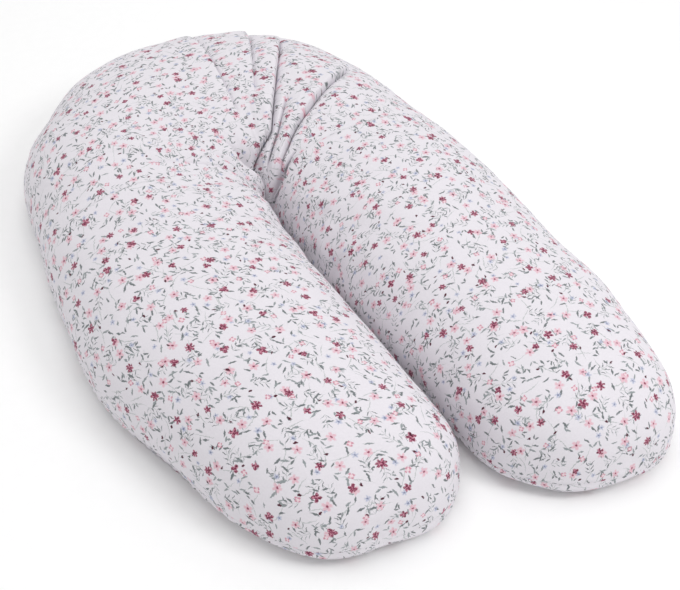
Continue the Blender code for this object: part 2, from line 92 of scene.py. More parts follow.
# %% [markdown]
# ## One smooth outline
# The arm's edge could be traced with many points, but then every small error would show as a kink. A
# cubic spline needs only six points and keeps the curve fair between them, as a bent batten does.


# %% The spline and the arm's edge
def length_along(line):
    """How far along a line of points each of them lies."""
    return np.concatenate([[0.0], np.cumsum(np.linalg.norm(np.diff(line, axis=0), axis=1))])


def fair_curve(points, start_slope, end_slope, count):
    """A cubic spline through a few points, like a batten held at each of them."""
    points = np.array(points, float)
    steps = np.sqrt(np.linalg.norm(np.diff(points, axis=0), axis=1))
    knots = np.concatenate([[0.0], np.cumsum(steps)])
    size = len(points)
    system, wanted = np.zeros((size, size)), np.zeros((size, 2))
    system[0, 0] = system[-1, -1] = 1.0
    wanted[0], wanted[-1] = start_slope, end_slope
    for i in range(1, size - 1):
        before, after = steps[i - 1], steps[i]
        system[i, i - 1 : i + 2] = [after, 2 * (before + after), before]
        rises = (points[i] - points[i - 1]) / before, (points[i + 1] - points[i]) / after
        wanted[i] = 3 * (after * rises[0] + before * rises[1])
    slopes = np.linalg.solve(system, wanted)
    t = np.linspace(0.0, knots[-1], count)
    i = np.clip(np.searchsorted(knots, t, side="right") - 1, 0, size - 2)
    span = steps[i][:, None]
    s = (t - knots[i])[:, None] / span
    return (
        (2 * s**3 - 3 * s**2 + 1) * points[i]
        + (s**3 - 2 * s**2 + s) * span * slopes[i]
        + (3 * s**2 - 2 * s**3) * points[i + 1]
        + (s**3 - s**2) * span * slopes[i + 1]
    )


def arm_edges(side):
    """The outer and the inner edge of one straight arm on the +X side, each from the tip upwards."""
    half, tip = HALF_WIDTHS[side], TIP_Y[side]
    through = [
        (BACK_RADIUS, BACK_CENTRE_Y),
        (half, CROTCH_Y - WIDEST_BELOW_CROTCH),
        (half * LOWER_WIDTH_SHARE, tip + LOWER_ABOVE_TIP),
        (half * TIP_SHARE, tip),
        (INNER_CORNER[0], tip + INNER_CORNER[1]),
        (SLIT_HALF, tip + LOWER_ABOVE_TIP),
    ]
    edge = fair_curve(through, (0.0, -0.5), (0.0, 0.4), 900)
    lowest = int(np.argmin(edge[:, 1]))
    return edge[lowest::-1], edge[lowest:]


# %% [markdown]
# ## Ribs along the tube
# The pillow's form is built as a boat's hull is: ribs across the tube, then cloth over the ribs. In
# the arms the ribs are level lines; in the bend they fan out from the crotch like the sticks of a fan.
# Spacing the ribs evenly along the outer edge keeps the cloth's squares nearly square.

# %% The ribs
ARM_STEP = 0.0056  # between ribs, along the outer edge
BEND_STEP = 0.0024


def arm_ribs(side):
    """(inner end, outer end) of each rib of an arm, from the tip up to the crotch line."""
    outer, inner = arm_edges(side)
    below = outer[outer[:, 1] <= CROTCH_Y]
    along = length_along(below)
    count = 2 * round(along[-1] / ARM_STEP / 2)
    y = np.interp(np.linspace(0.0, along[-1], count + 1), along, below[:, 1])
    y[-1] = CROTCH_Y
    run = (CROTCH_Y - y) / (CROTCH_Y - TIP_Y[side])
    bent = CROTCH_X + SWEEPS[side] * run**2
    x_inner = np.interp(y, inner[:, 1], inner[:, 0], right=SLIT_HALF)
    x_outer = np.interp(y, outer[:, 1], outer[:, 0])
    x_inner[0] = x_outer[0]
    ends = [np.stack([SIDES[side] * x + bent, y], axis=1) for x in (x_inner, x_outer)]
    return np.stack(ends, axis=1)


def bend_ribs():
    """The fan of ribs round the bend, from the left arm to the right one."""
    ribs = []
    for side, sign in (("left", -1), ("right", 1)):
        outer, _ = arm_edges(side)
        low = outer[(outer[:, 1] >= CROTCH_Y) & (outer[:, 1] < BACK_CENTRE_Y)]
        turn = np.linspace(0.0, math.pi / 2, 400)
        back = np.stack([BACK_RADIUS * np.cos(turn), BACK_CENTRE_Y + BACK_RADIUS * np.sin(turn)], 1)
        start = [[np.interp(CROTCH_Y, outer[:, 1], outer[:, 0]), CROTCH_Y]]
        edge = np.concatenate([start, low, back])
        along = length_along(edge)
        count = 2 * round(along[-1] / BEND_STEP / 2)
        spots = np.linspace(0.0, along[-1], count + 1)
        out = np.stack([np.interp(spots, along, edge[:, k]) for k in (0, 1)], axis=1)
        out[:, 1] -= CROTCH_Y
        reach = np.linalg.norm(out, axis=1, keepdims=True)
        ends = np.stack([out / reach * SLIT_HALF, out], axis=1)
        ends[:, :, 0] *= sign
        ends += np.array([CROTCH_X, CROTCH_Y])
        ribs.append(ends if side == "left" else ends[::-1])
    return np.concatenate([ribs[0], ribs[1][1:]])


left_ribs, fan_ribs, right_ribs = arm_ribs("left"), bend_ribs(), arm_ribs("right")
ribs = np.concatenate([left_ribs[:-1], fan_ribs, right_ribs[-2::-1]])
FIRST_FAN, LAST_FAN = len(left_ribs) - 1, len(left_ribs) + len(fan_ribs) - 2
MIDDLE = FIRST_FAN + (len(fan_ribs) - 1) // 2  # the rib on which the left and right halves meet
print("ribs:", len(ribs), "of which in the bend:", len(fan_ribs))

# %% [markdown]
# ## The section on a rib
# A stuffed tube lying on a floor isn't round: its top is a full dome, its foot is flat, and its seam
# runs round near the floor. Points are spread evenly along the cloth, with a few extra ones close to
# the seams, because the puckers there are small.

# %% Sections
TOP_COLUMNS, FOOT_COLUMNS = 84, 40
NEAR_SEAM = (0.0, 0.0013, 0.0028, 0.0046)  # the extra points' distances from a seam
PAST_NEAR = 0.003  # from the last of them to the first even point
FULL_SECTION = 0.12  # a section narrower than this brings them closer together
FULL_HEIGHT_HALF = 0.15  # the half width from which a section has its full height


def spread(line, count, near=()):
    """Points along a dense line, evenly apart except for those near its two ends, and their shares."""
    along = length_along(line)
    whole = along[-1]
    closer = min(1.0, whole / FULL_SECTION)
    edge = np.array(near) * closer
    first = edge[-1] + PAST_NEAR * closer if near else 0
    inside = np.linspace(first, whole - first, count + 1 - 2 * len(edge))
    spots = np.concatenate([edge, inside, whole - edge[::-1]]) if near else inside
    points = np.stack([np.interp(spots, along, line[:, k]) for k in range(3)], axis=1)
    return points, spots / whole if whole > 0 else np.linspace(0, 1, count + 1)


def section(rib):
    """The dense lines over the top, from the inner to the outer seam, and back under the foot."""
    inner, outer = rib
    centre, half = (inner + outer) / 2, (outer - inner) / 2
    share = min(1.0, np.linalg.norm(half) / FULL_HEIGHT_HALF)
    rise = (PILLOW_HEIGHT - SEAM_HEIGHT) * share**TAPER
    fall = SEAM_HEIGHT * min(1.0, 2 * share) ** TAPER
    turn = np.linspace(math.pi, 0.0, 161)
    across = np.cos(turn)
    up = (1 - np.abs(across) ** TOP_ROUNDNESS) ** (1 / TOP_ROUNDNESS)
    top = np.column_stack([centre + half * across[:, None], SEAM_HEIGHT + rise * up])
    out = np.sin(np.linspace(math.pi / 2, 0.0, 50))
    down = (1 - out**BOTTOM_ROUNDNESS) ** (1 / BOTTOM_ROUNDNESS)
    foot = []
    for side, order in ((1, slice(None)), (-1, slice(None, None, -1))):
        wide = side * (FLAT_SHARE + (1 - FLAT_SHARE) * out[order])
        foot.append(np.column_stack([centre + half * wide[:, None], SEAM_HEIGHT - fall * down[order]]))
    return top, np.concatenate(foot)


def cover_form():
    """The smooth outside of the whole pillow as two grids, with the seams' points in both."""
    top, foot, shares = [], [], []
    for rib in ribs:
        over, under = section(rib)
        points, share = spread(over, TOP_COLUMNS, NEAR_SEAM)
        top.append(points)
        shares.append(share)
        foot.append(spread(under, FOOT_COLUMNS, NEAR_SEAM)[0])
    return np.array(top), np.array(foot), np.array(shares)


smooth_top, smooth_foot, top_shares = cover_form()
print("cloth points over the top:", smooth_top.shape[:2], "and under the foot:", smooth_foot.shape[:2])

# %% [markdown]
# ## Helpers for grids of points
# A cloth panel is a grid: rows along the tube, columns across it. Working on whole arrays keeps the
# code short. A normal is the cross product of the two directions in which the grid runs.


# %% Grid helpers
def grid_normals(grid, top):
    """The outward direction at each point of a panel."""
    along, across = np.gradient(grid, axis=0), np.gradient(grid, axis=1)
    for i, j in ((0, 1), (-1, -2)):  # a tip is one point, so it borrows its neighbour's direction
        along[i], across[i] = along[j], across[j]
    facing = np.cross(across, along)
    facing /= np.maximum(np.linalg.norm(facing, axis=2, keepdims=True), 1e-12)
    if (facing[len(grid) // 2, :, 2].mean() > 0) != top:
        facing = -facing
    return facing


def softened(field, times):
    """A field over a grid, averaged with its neighbours a number of times."""
    for _ in range(times):
        for axis in (0, 1):
            last = field.shape[axis] - 1
            before = field.take([0, *range(last)], axis)
            after = field.take([*range(1, last + 1), last], axis)
            field = (before + 2 * field + after) / 4
    return field


def ease(low, high, value):
    """0 below low, 1 above high, and a smooth rise between."""
    t = np.clip((value - low) / (high - low), 0.0, 1.0)
    return t * t * (3 - 2 * t)


# %% [markdown]
# ## Letting the cloth settle
# Sewn cotton round a filling never lies perfectly smooth: it puffs and creases a little where there is
# slack. Blender's cloth simulation can make these marks. The whole cover is blown up from inside for a
# few frames, with the crotch and the foot held still. That also changes its broad form by a few
# millimetres, so the broad part of the movement is taken away and only the fine part is kept, and no
# point keeps more than a set amount. The marks are a look, and they don't measure a real pillow. The
# pressure pushes to the side that the faces face, so it's worth checking how far the cloth moved: faces
# that point inwards get sucked flat.

# %% Cloth simulation
SIM_COLUMNS, SIM_FOOT = 44, 20
CLOTH_FRAMES = 16
MOST_MOVED = 0.0035  # how far a point may move from the smooth form
HELD_REACH = (0.035, 0.090)  # near the crotch the cloth is gathered and held
HELD_BELOW = 0.004  # and so is the cloth on the floor
BROAD_TIMES, FINE_TIMES = 60, 2  # rounds of softening: for the broad movement, and for the kept part


def settled_cloth():
    """How far each point of a coarse net over the whole pillow moves as it is blown up."""
    rows = ribs[::2]
    lines = [section(rib) for rib in rows]
    over = np.array([spread(top, SIM_COLUMNS)[0] for top, _ in lines])
    under = np.array([spread(foot, SIM_FOOT)[0] for _, foot in lines])
    rings = np.concatenate([over, under[:, 1:-1]], axis=1)
    count, columns = rings.shape[:2]
    ids = np.arange(count * columns).reshape(count, columns)
    ids[0], ids[-1] = ids[0, 0], ids[-1, 0]
    faces = []
    for i in range(count - 1):
        for j in range(columns):
            k = (j + 1) % columns
            ring = [ids[i, j], ids[i, k], ids[i + 1, k], ids[i + 1, j]]
            faces.append([int(v) for n, v in enumerate(ring) if v != ring[n - 1]][::-1])  # facing out
    used = np.unique(ids)
    renumber = np.zeros(count * columns, int)
    renumber[used] = np.arange(len(used))
    flat = rings.reshape(-1, 3)
    data = bpy.data.meshes.new("blown_cover")
    data.from_pydata(flat[used].tolist(), [], [[int(renumber[v]) for v in f] for f in faces])
    trial = bpy.data.objects.new("blown_cover", data)
    bpy.context.scene.collection.objects.link(trial)
    held = trial.vertex_groups.new(name="held")
    near = np.hypot(flat[used, 0] - CROTCH_X, flat[used, 1] - CROTCH_Y)
    grip = np.maximum(1 - ease(*HELD_REACH, near), (flat[used, 2] < HELD_BELOW) * 1.0)
    for number, weight in enumerate(grip):
        if weight > 0:
            held.add([number], float(weight), "REPLACE")
    cloth = trial.modifiers.new("cloth", "CLOTH")
    rules = cloth.settings
    rules.quality = 4
    rules.mass = 0.12
    rules.tension_stiffness = rules.compression_stiffness = 12
    rules.shear_stiffness = 6
    rules.bending_stiffness = 0.08
    rules.use_pressure = True
    rules.uniform_pressure_force = 1  # pushes along the faces' outward side
    rules.shrink_min = -0.01
    rules.effector_weights.gravity = 0
    rules.vertex_group_mass = "held"
    cloth.collision_settings.use_collision = False
    cloth.point_cache.frame_end = CLOTH_FRAMES
    for number in range(1, CLOTH_FRAMES + 1):
        bpy.context.scene.frame_set(number)
    blown = trial.evaluated_get(bpy.context.evaluated_depsgraph_get()).to_mesh()
    moved = np.zeros(len(used) * 3, np.float32)
    blown.vertices.foreach_get("co", moved)
    bpy.data.objects.remove(trial)
    bpy.context.scene.frame_set(1)
    shift = np.zeros_like(flat)
    shift[used] = moved.reshape(-1, 3) - flat[used]
    shift = shift[ids]
    moved = np.linalg.norm(shift, axis=2) * 1000
    print(f"cloth moved {np.median(moved):.1f} mm in the middle of the range and up to {moved.max():.1f} mm")
    return shift


def fine_shift(shift, columns, shares, rows):
    """The coarse net's movement, read at the fine grid's points."""
    coarse = np.linspace(0.0, 1.0, len(columns))
    part = shift[:, columns]
    across = np.array([
        [np.interp(shares[min(2 * i, rows - 1)], coarse, part[i, :, k]) for k in range(3)]
        for i in range(len(part))
    ]).transpose(0, 2, 1)
    full = np.zeros((rows, across.shape[1], 3))
    full[::2] = across
    full[1::2] = (across[:-1] + across[1:]) / 2
    return full


creases = np.zeros_like(smooth_top)
net = settled_cloth()
net = net - softened(net, BROAD_TIMES)
length = np.linalg.norm(net, axis=2, keepdims=True)
print(f"points held back to the most that is kept: {(length > MOST_MOVED).mean():.1%}")
net *= np.minimum(1.0, MOST_MOVED / np.maximum(length, 1e-9))
fine = fine_shift(net, list(range(SIM_COLUMNS + 1)), top_shares, len(ribs))
creases = softened(fine, FINE_TIMES)
print("creases up to", round(float(np.linalg.norm(creases, axis=2).max()) * 1000, 1), "mm")

# %% [markdown]
# ## Pleats at the crotch
# The tube's inner side is much shorter than its outer side, so the spare cloth gathers into pleats
# that run out from the crotch. Each pleat is a tuck: on one side the cloth rolls over and drops steeply,
# and on the other it comes out from beneath and rises gently. They are modelled, because light and
# shadow in them are what makes the bend look like cloth.

# %% Pleats
PLEATS = (  # direction from the crotch in degrees, its curl near there, reach, depth near and far
    (114.0, 0.0, 0.008, 0.100, 0.0240, 0.0040),
    (84.5, 0.0, 0.110, 0.380, 0.0040, 0.0110),
    (70.5, 0.0, 0.140, 0.375, 0.0040, 0.0110),
    (61.5, 46.0, 0.015, 0.345, 0.0150, 0.0100),
    (53.5, 12.0, 0.030, 0.165, 0.0090, 0.0040),
    (37.5, -8.0, 0.012, 0.280, 0.0160, 0.0080),
    (15.0, 0.0, 0.006, 0.070, 0.0130, 0.0010),
    (142.0, 0.0, 0.030, 0.150, 0.0030, 0.0010),
    (164.0, 0.0, 0.035, 0.210, 0.0035, 0.0010),
)
STEEP_FLANK, SOFT_FLANK = 0.0013, 0.0095  # how quickly each side of a tuck comes back up
ROLL_WIDTH, ROLL_SHARE = 0.0200, 0.30  # the soft roll of cloth on the steep side
UNDERCUT, UNDERCUT_RUN = 0.34, 0.0160  # the roll leans over by this share of the depth
PLEAT_BOW = 4.0  # degrees by which a pleat bows on its way out
CURL_REACH = 0.075  # nearer than this to the crotch a pleat curls round
FULL_WIDTH_REACH = 0.14  # nearer the crotch the pleats get narrower
LEAST_WIDTH = 0.45  # the narrowest they get, as a share
CREVICE, CREVICE_HALF_WIDTH = 0.35, 0.0020  # a narrow slit at the foot of each tuck


def pleat_relief(place):
    """How far the cloth sinks or rises at each point, and how far its rolls lean over, in metres."""
    out = place[..., :2] - np.array([CROTCH_X, CROTCH_Y])
    reach = np.hypot(out[..., 0], out[..., 1])
    turn = np.degrees(np.arctan2(out[..., 1], out[..., 0]))
    height, lean = np.zeros(reach.shape), np.zeros(reach.shape)
    for angle, curl, start, end, near_depth, far_depth in PLEATS:
        share = np.clip((reach - start) / (end - start), 0, 1)
        line = angle - PLEAT_BOW * share * (1 - share) + curl * (1 - ease(0.0, CURL_REACH, reach))
        aside = reach * np.sin(np.radians(np.clip(turn - line, -60, 60)))
        narrow = LEAST_WIDTH + (1 - LEAST_WIDTH) * ease(0.0, FULL_WIDTH_REACH, reach)
        flank = np.where(aside > 0, STEEP_FLANK, SOFT_FLANK) * narrow
        fade = ease(start - 0.012, start + 0.015, reach) * (1 - ease(end - 0.05, end, reach))
        depth = (near_depth + (far_depth - near_depth) * share) * fade
        groove = np.exp(-np.abs(aside) / flank)
        rolled = (aside > 0) * (1 - groove)
        roll = np.exp(-(((aside / narrow - ROLL_WIDTH * 0.5) / ROLL_WIDTH) ** 2)) * ROLL_SHARE
        crevice = CREVICE * np.exp(-((aside / CREVICE_HALF_WIDTH) ** 2))
        height += depth * (roll * rolled - groove - crevice)
        lean += UNDERCUT * depth * rolled * np.exp(-aside.clip(0) / (UNDERCUT_RUN * narrow))
    return height, lean


def clockwise(place):
    """The level direction round the crotch in which the rolls lean."""
    out = place[..., :2] - np.array([CROTCH_X, CROTCH_Y])
    way = np.stack([out[..., 1], -out[..., 0], np.zeros(out.shape[:2])], axis=-1)
    return way / np.linalg.norm(way, axis=2, keepdims=True)


# %% [markdown]
# ## Wrinkles, puckers and the seam
# Finer marks come from smooth noise: soft dimples all over, thin drag lines that point to the crotch,
# and puckers where the thread draws the seam tight. Each is a height in metres along the cloth's own
# normal, so they add up.

# %% Small relief
DIMPLE_SIZE, DIMPLE_DEPTH = 0.075, 0.0022
RIPPLE_SIZE, RIPPLE_DEPTH = 0.026, 0.0006
DRAG_TURN, DRAG_DEPTH = 5.0, 0.0016  # degrees between drag lines near the crotch
SEAM_DEPTH, SEAM_HALF_WIDTH = 0.0009, 0.0022
PUCKER_LENGTH, PUCKER_DEPTH = 0.0085, 0.0007


def soft_noise(places, size, seed):
    flat = places.reshape(-1, 3) / size
    made = [noise.noise(Vector((p[0] + seed, p[1], p[2]))) for p in flat]
    return np.array(made).reshape(places.shape[:-1])


def small_relief(place):
    """Dimples, ripples and drag lines over one panel."""
    out = place[..., :2] - np.array([CROTCH_X, CROTCH_Y])
    reach = np.hypot(out[..., 0], out[..., 1])
    turn = np.degrees(np.arctan2(out[..., 1], out[..., 0]))
    fan = np.stack([turn / DRAG_TURN, reach / 0.14, np.zeros_like(reach)], axis=-1)
    drag = soft_noise(fan, 1.0, 7.3) * np.exp(-((reach - 0.10) / 0.09) ** 2) * ease(-20, 25, turn % 360)
    return (
        DIMPLE_DEPTH * soft_noise(place, DIMPLE_SIZE, 3.1)
        + RIPPLE_DEPTH * soft_noise(place, RIPPLE_SIZE, 11.7)
        + DRAG_DEPTH * drag
    )


def seam_pull(place):
    """The groove and puckers that the seam's thread draws at both long edges of a panel."""
    total = np.zeros(place.shape[:2])
    for column, order in ((0, place), (-1, place[:, ::-1])):
        edge = order[:, 0]
        away = np.linalg.norm(order - edge[:, None], axis=2)
        along = length_along(edge)
        wave = np.sin(2 * math.pi * along / PUCKER_LENGTH + 1.7 * np.sin(along * 31))[:, None]
        dip = SEAM_DEPTH * np.exp(-((away / SEAM_HALF_WIDTH) ** 2))
        ripple = PUCKER_DEPTH * wave * np.exp(-(((away - 0.006) / 0.005) ** 2))
        part = ripple - dip
        total += part if column == 0 else part[:, ::-1]
    return total


# %% [markdown]
# ## Where the filling is thin
# Loose filling moves about, so a used or newly shaken pillow has places that are a little emptier than
# the pattern allows for, and others where it has heaped up. A few broad, shallow hollows let the cloth
# sag there by up to 12.5 mm, and where the value is below 0 it stands prouder, by up to 9 mm. The two
# small ones at the crotch make its pit, up to 14 mm deep. Only this dressed form has them: the
# engineering solids keep their full outline.

# %% Slack places
SLACK = (  # middle in x and y, radius, depth (fuller below 0), and the height above which it acts
    ((0.245, 0.260), 0.100, 0.0125, 0.035),
    ((0.295, -0.155), 0.115, 0.0115, -1.0),
    ((-0.215, 0.375), 0.080, 0.0100, 0.035),
    ((-0.290, 0.120), 0.095, -0.0090, -1.0),
    ((-0.300, -0.255), 0.105, 0.0100, -1.0),
    ((-0.110, -0.440), 0.080, 0.0080, -1.0),
    ((0.150, -0.490), 0.090, 0.0065, -1.0),
    ((0.275, -0.430), 0.060, -0.0060, -1.0),
    ((-0.040, -0.452), 0.045, -0.0070, -1.0),
    ((0.048, -0.465), 0.045, 0.0080, -1.0),
    ((-0.001, 0.124), 0.014, 0.0140, 0.035),
    ((0.024, 0.094), 0.010, 0.0090, 0.035),
    ((-0.036, 0.036), 0.040, -0.0070, 0.060),
)


def slack(place):
    """How far the cloth lies below the full form, at each point of a panel."""
    total = np.zeros(place.shape[:2])
    for (x, y), radius, depth, above in SLACK:
        near = np.exp(-((place[..., 0] - x) ** 2 + (place[..., 1] - y) ** 2) / radius**2)
        total += depth * near * ease(above, above + 0.04, place[..., 2])
    return total


# %% [markdown]
# ## The zip's slot
# The zip closes the back of the bend. There the two panels stop short of each other, and the zip's
# tapes fill the gap. The panels' edges part smoothly at the slot's ends.

# %% Opening the slot
SLOT_HALF = (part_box("zip_tape_upper")[1].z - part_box("zip_tape_lower")[0].z) / 2 + 0.0004
ZIP_HALF_TURN = 60.0  # degrees of the back's round on each side of its middle
SLOT_RUN_OUT = 1.3  # degrees over which the slot closes
SLOT_FADE = 0.030  # how far from the edge the panel still moves


def slot_share():
    """1 on the ribs that cross the slot, 0 on the others."""
    outer = ribs[:, 1]
    turn = np.degrees(np.arctan2(outer[:, 1] - BACK_CENTRE_Y, outer[:, 0] - CROTCH_X))
    share = 1 - ease(ZIP_HALF_TURN, ZIP_HALF_TURN + SLOT_RUN_OUT, np.abs(turn - 90))
    share[:FIRST_FAN] = share[LAST_FAN:] = 0.0
    return share


def part_for_slot(grid, edge_column, way):
    """Moves a panel's outer edge up or down to leave the slot."""
    away = np.linalg.norm(grid - grid[:, edge_column : edge_column + 1 or None], axis=2)
    fade = 1 - ease(0.0, SLOT_FADE, away)
    grid = grid.copy()
    grid[..., 2] += way * SLOT_HALF * fade * slot_share()[:, None]
    return grid


SEAM_SHARED = 0.012  # how far from a seam a panel still bends to meet the other one
ON_FLOOR = 0.002  # below this height the cloth lies on the floor and can't stand prouder
FOOT_SHARE = 0.4  # of the small relief, which the pillow's weight presses flatter underneath
PLEAT_FADE = 0.03  # above the seam, over which the pleats gain their full depth


def meet_at_seams(top, foot):
    """Moves both panels near a seam so that they share one edge."""
    for top_column, foot_column in ((-1, 0), (0, -1)):
        shared = (top[:, top_column] + foot[:, foot_column]) / 2
        for grid, column in ((top, top_column), (foot, foot_column)):
            edge = grid[:, column].copy()
            near = 1 - ease(0.0, SEAM_SHARED, np.linalg.norm(grid - edge[:, None], axis=2))
            grid += near[..., None] * (shared - edge)[:, None]


top_facing = grid_normals(smooth_top, True)
foot_facing = grid_normals(smooth_foot, False)
pleats, lean = pleat_relief(smooth_top)
above_seam = np.clip((smooth_top[..., 2] - SEAM_HEIGHT) / PLEAT_FADE, 0, 1)
pleats, lean = pleats * above_seam, lean * above_seam
rough = pleats + small_relief(smooth_top) - slack(smooth_top)
cover_top = smooth_top + creases + top_facing * (rough + seam_pull(smooth_top))[..., None]
cover_top += clockwise(smooth_top) * lean[..., None]
foot_relief = seam_pull(smooth_foot) + FOOT_SHARE * small_relief(smooth_foot) - slack(smooth_foot)
on_floor = smooth_foot[..., 2] < ON_FLOOR
foot_relief[on_floor] = np.minimum(foot_relief[on_floor], 0.0)
cover_foot = smooth_foot + foot_facing * foot_relief[..., None]
meet_at_seams(cover_top, cover_foot)
cover_top[0], cover_top[-1] = cover_top[0, 0], cover_top[-1, 0]
cover_foot[0], cover_foot[-1] = cover_foot[0, 0], cover_foot[-1, 0]
cover_top = part_for_slot(cover_top, -1, 1)
cover_foot = part_for_slot(cover_foot, 0, -1)
cover_foot[..., 2] = np.maximum(cover_foot[..., 2], 0.0)
print("pleats from", round(float(pleats.min()) * 1000, 1), "to", round(float(pleats.max()) * 1000, 1), "mm")

# %% [markdown]
# ## The tailor's pattern
# The print lies on flat cloth, so each panel needs a flat pattern: its UV map. Blender's minimum
# stretch unwrap flattens a coarse copy of the panel, and the fine panel reads its place from that. The
# pattern is scaled so that one unit is one metre, and the flowers then have one size all over.

# %% Flat patterns
PATTERN_ROW_STEP, PATTERN_COLUMN_STEP = 6, 4


def grid_faces(rows, columns, poles):
    """Corner indices of a grid's faces. At a tip all of a row's points are one, so faces are triangles."""
    faces = []
    for i in range(rows - 1):
        for j in range(columns - 1):
            ring = [(i, j), (i, j + 1), (i + 1, j + 1), (i + 1, j)]
            if i in poles:
                ring = ring[1:]
            elif i + 1 in poles:
                ring = ring[:3]
            faces.append(ring)
    return faces


def numbered(rows, columns, poles):
    """One number for each point of a grid, and one shared number for a tip's row."""
    ids = np.arange(rows * columns).reshape(rows, columns)
    for i in poles:
        ids[i] = ids[i, 0]
    return ids


def flat_pattern(grid):
    """Where each point of a panel lies on the flat cloth, in metres."""
    rows = sorted({*range(0, len(grid), PATTERN_ROW_STEP), len(grid) - 1})
    columns = sorted({*range(0, grid.shape[1], PATTERN_COLUMN_STEP), grid.shape[1] - 1})
    coarse = grid[np.ix_(rows, columns)]
    count, wide = coarse.shape[:2]
    poles = (0, count - 1)
    ids = numbered(count, wide, poles)
    used = np.unique(ids)
    renumber = {int(v): n for n, v in enumerate(used)}
    faces = [[renumber[int(ids[c])] for c in ring] for ring in grid_faces(count, wide, poles)]
    data = bpy.data.meshes.new("pattern")
    data.from_pydata(coarse.reshape(-1, 3)[used].tolist(), [], faces)
    data.uv_layers.new(name="UVMap")
    piece = bpy.data.objects.new("pattern", data)
    bpy.context.scene.collection.objects.link(piece)
    bpy.context.view_layer.objects.active = piece
    piece.select_set(True)
    bpy.ops.object.mode_set(mode="EDIT")
    bpy.ops.mesh.select_all(action="SELECT")
    bpy.ops.uv.unwrap(method="MINIMUM_STRETCH", margin=0.0)
    bpy.ops.object.mode_set(mode="OBJECT")
    places = np.zeros((len(used), 2))
    layer = piece.data.uv_layers["UVMap"].data
    for loop, spot in zip(piece.data.loops, layer):
        places[loop.vertex_index] = spot.uv
    edges = np.array([e.vertices[:] for e in piece.data.edges])
    real = np.linalg.norm(np.diff(coarse.reshape(-1, 3)[used][edges], axis=1), axis=2)
    drawn = np.linalg.norm(np.diff(places[edges], axis=1), axis=2)
    places *= np.median(real / np.maximum(drawn, 1e-9))
    bpy.data.objects.remove(piece)
    lookup = np.array([renumber[int(v)] for v in ids.ravel()]).reshape(count, wide)
    net = places[lookup]
    full = np.array([[np.interp(range(len(grid)), rows, net[:, j, k]) for k in (0, 1)] for j in range(wide)])
    return np.array([
        [np.interp(range(grid.shape[1]), columns, full[:, k, i]) for k in (0, 1)] for i in range(len(grid))
    ]).transpose(0, 2, 1)


top_pattern = flat_pattern(smooth_top)
foot_pattern = flat_pattern(smooth_foot) + 2.0
size = np.ptp(top_pattern.reshape(-1, 2), axis=0)
print(f"the top panel's flat pattern is {size[0]:.2f} by {size[1]:.2f} m")

# %% [markdown]
# ## Materials: short helpers
# A Blender material is a tree of nodes. Writing each node takes four lines, so small helpers that add a
# node and join it to others make a material readable, almost like a formula.


# %% Node helpers
def to_linear(red, green, blue):
    """A colour, 0 to 255, as the linear values that a shader works in."""
    shares = [c / 255 for c in (red, green, blue)]
    return (*[c / 12.92 if c <= 0.04045 else ((c + 0.055) / 1.055) ** 2.4 for c in shares], 1.0)


def feed(tree, socket, value):
    """Joins another node's output to a socket, or types a plain value into it."""
    if isinstance(value, bpy.types.NodeSocket):
        tree.links.new(value, socket)
    else:
        socket.default_value = value


def add(tree, kind, values=None, **settings):
    """One new shader node, with its settings and its named inputs."""
    made = tree.nodes.new("ShaderNode" + kind)
    for name, value in settings.items():
        setattr(made, name, value)
    for name, value in (values or {}).items():
        feed(tree, made.inputs[name], value)
    return made


def maths(tree, operation, *values, clamp=False):
    made = add(tree, "Math", operation=operation, use_clamp=clamp)
    for socket, value in zip(made.inputs, values):
        feed(tree, socket, value)
    return made.outputs[0]


def stain(tree, base, colour, mask):
    """Lays a colour over another where the mask is 1."""
    made = tree.nodes.new("ShaderNodeMix")
    made.data_type = "RGBA"
    for number, value in ((0, mask), (6, base), (7, colour)):
        feed(tree, made.inputs[number], value)
    return made.outputs[2]


def new_group(name, inputs, outputs):
    """An empty node group with named sockets, and its two ends."""
    tree = bpy.data.node_groups.new(name, "ShaderNodeTree")
    for socket, kind, value in inputs:
        made = tree.interface.new_socket(socket, in_out="INPUT", socket_type="NodeSocket" + kind)
        if value is not None:
            made.default_value = value
    for socket, kind in outputs:
        tree.interface.new_socket(socket, in_out="OUTPUT", socket_type="NodeSocket" + kind)
    return tree, tree.nodes.new("NodeGroupInput"), tree.nodes.new("NodeGroupOutput")


def use(tree, group, **values):
    """A group placed in a material with its own values."""
    made = add(tree, "Group", node_tree=group)
    for name, value in values.items():
        feed(tree, made.inputs[name.replace("_", " ")], value)
    return made


# %% [markdown]
# ## A group for woven cloth
# Cotton, zip tape and satin are all woven, with threads of different sizes. One group draws crossing
# threads as a height and a little uneven shade, and each material gives it its own thread size. Two
# wave patterns at right angles are cheap, and multiplying them gives the over and under.


# %% Woven cloth
def weave_group():
    tree, start, end = new_group(
        "woven_threads",
        [("Place", "Vector", None), ("Thread", "Float", 0.0005), ("Slub", "Float", 0.3)],
        [("Height", "Float"), ("Shade", "Float")],
    )
    parts = add(tree, "SeparateXYZ", {"Vector": start.outputs["Place"]})
    waves = []
    for axis in ("X", "Y"):
        turns = maths(tree, "DIVIDE", parts.outputs[axis], start.outputs["Thread"])
        waves.append(maths(tree, "SINE", maths(tree, "MULTIPLY", turns, math.pi)))
    cross = maths(tree, "MULTIPLY", *waves)
    fine = maths(tree, "DIVIDE", 0.25, start.outputs["Thread"])
    uneven = add(tree, "TexNoise", {"Vector": start.outputs["Place"], "Scale": fine, "Detail": 2.0})
    slub = maths(tree, "MULTIPLY", uneven.outputs["Fac"], start.outputs["Slub"])
    feed(tree, end.inputs["Height"], maths(tree, "ADD", maths(tree, "MULTIPLY", cross, 0.35), slub))
    feed(tree, end.inputs["Shade"], uneven.outputs["Fac"])
    return tree


WEAVE = weave_group()

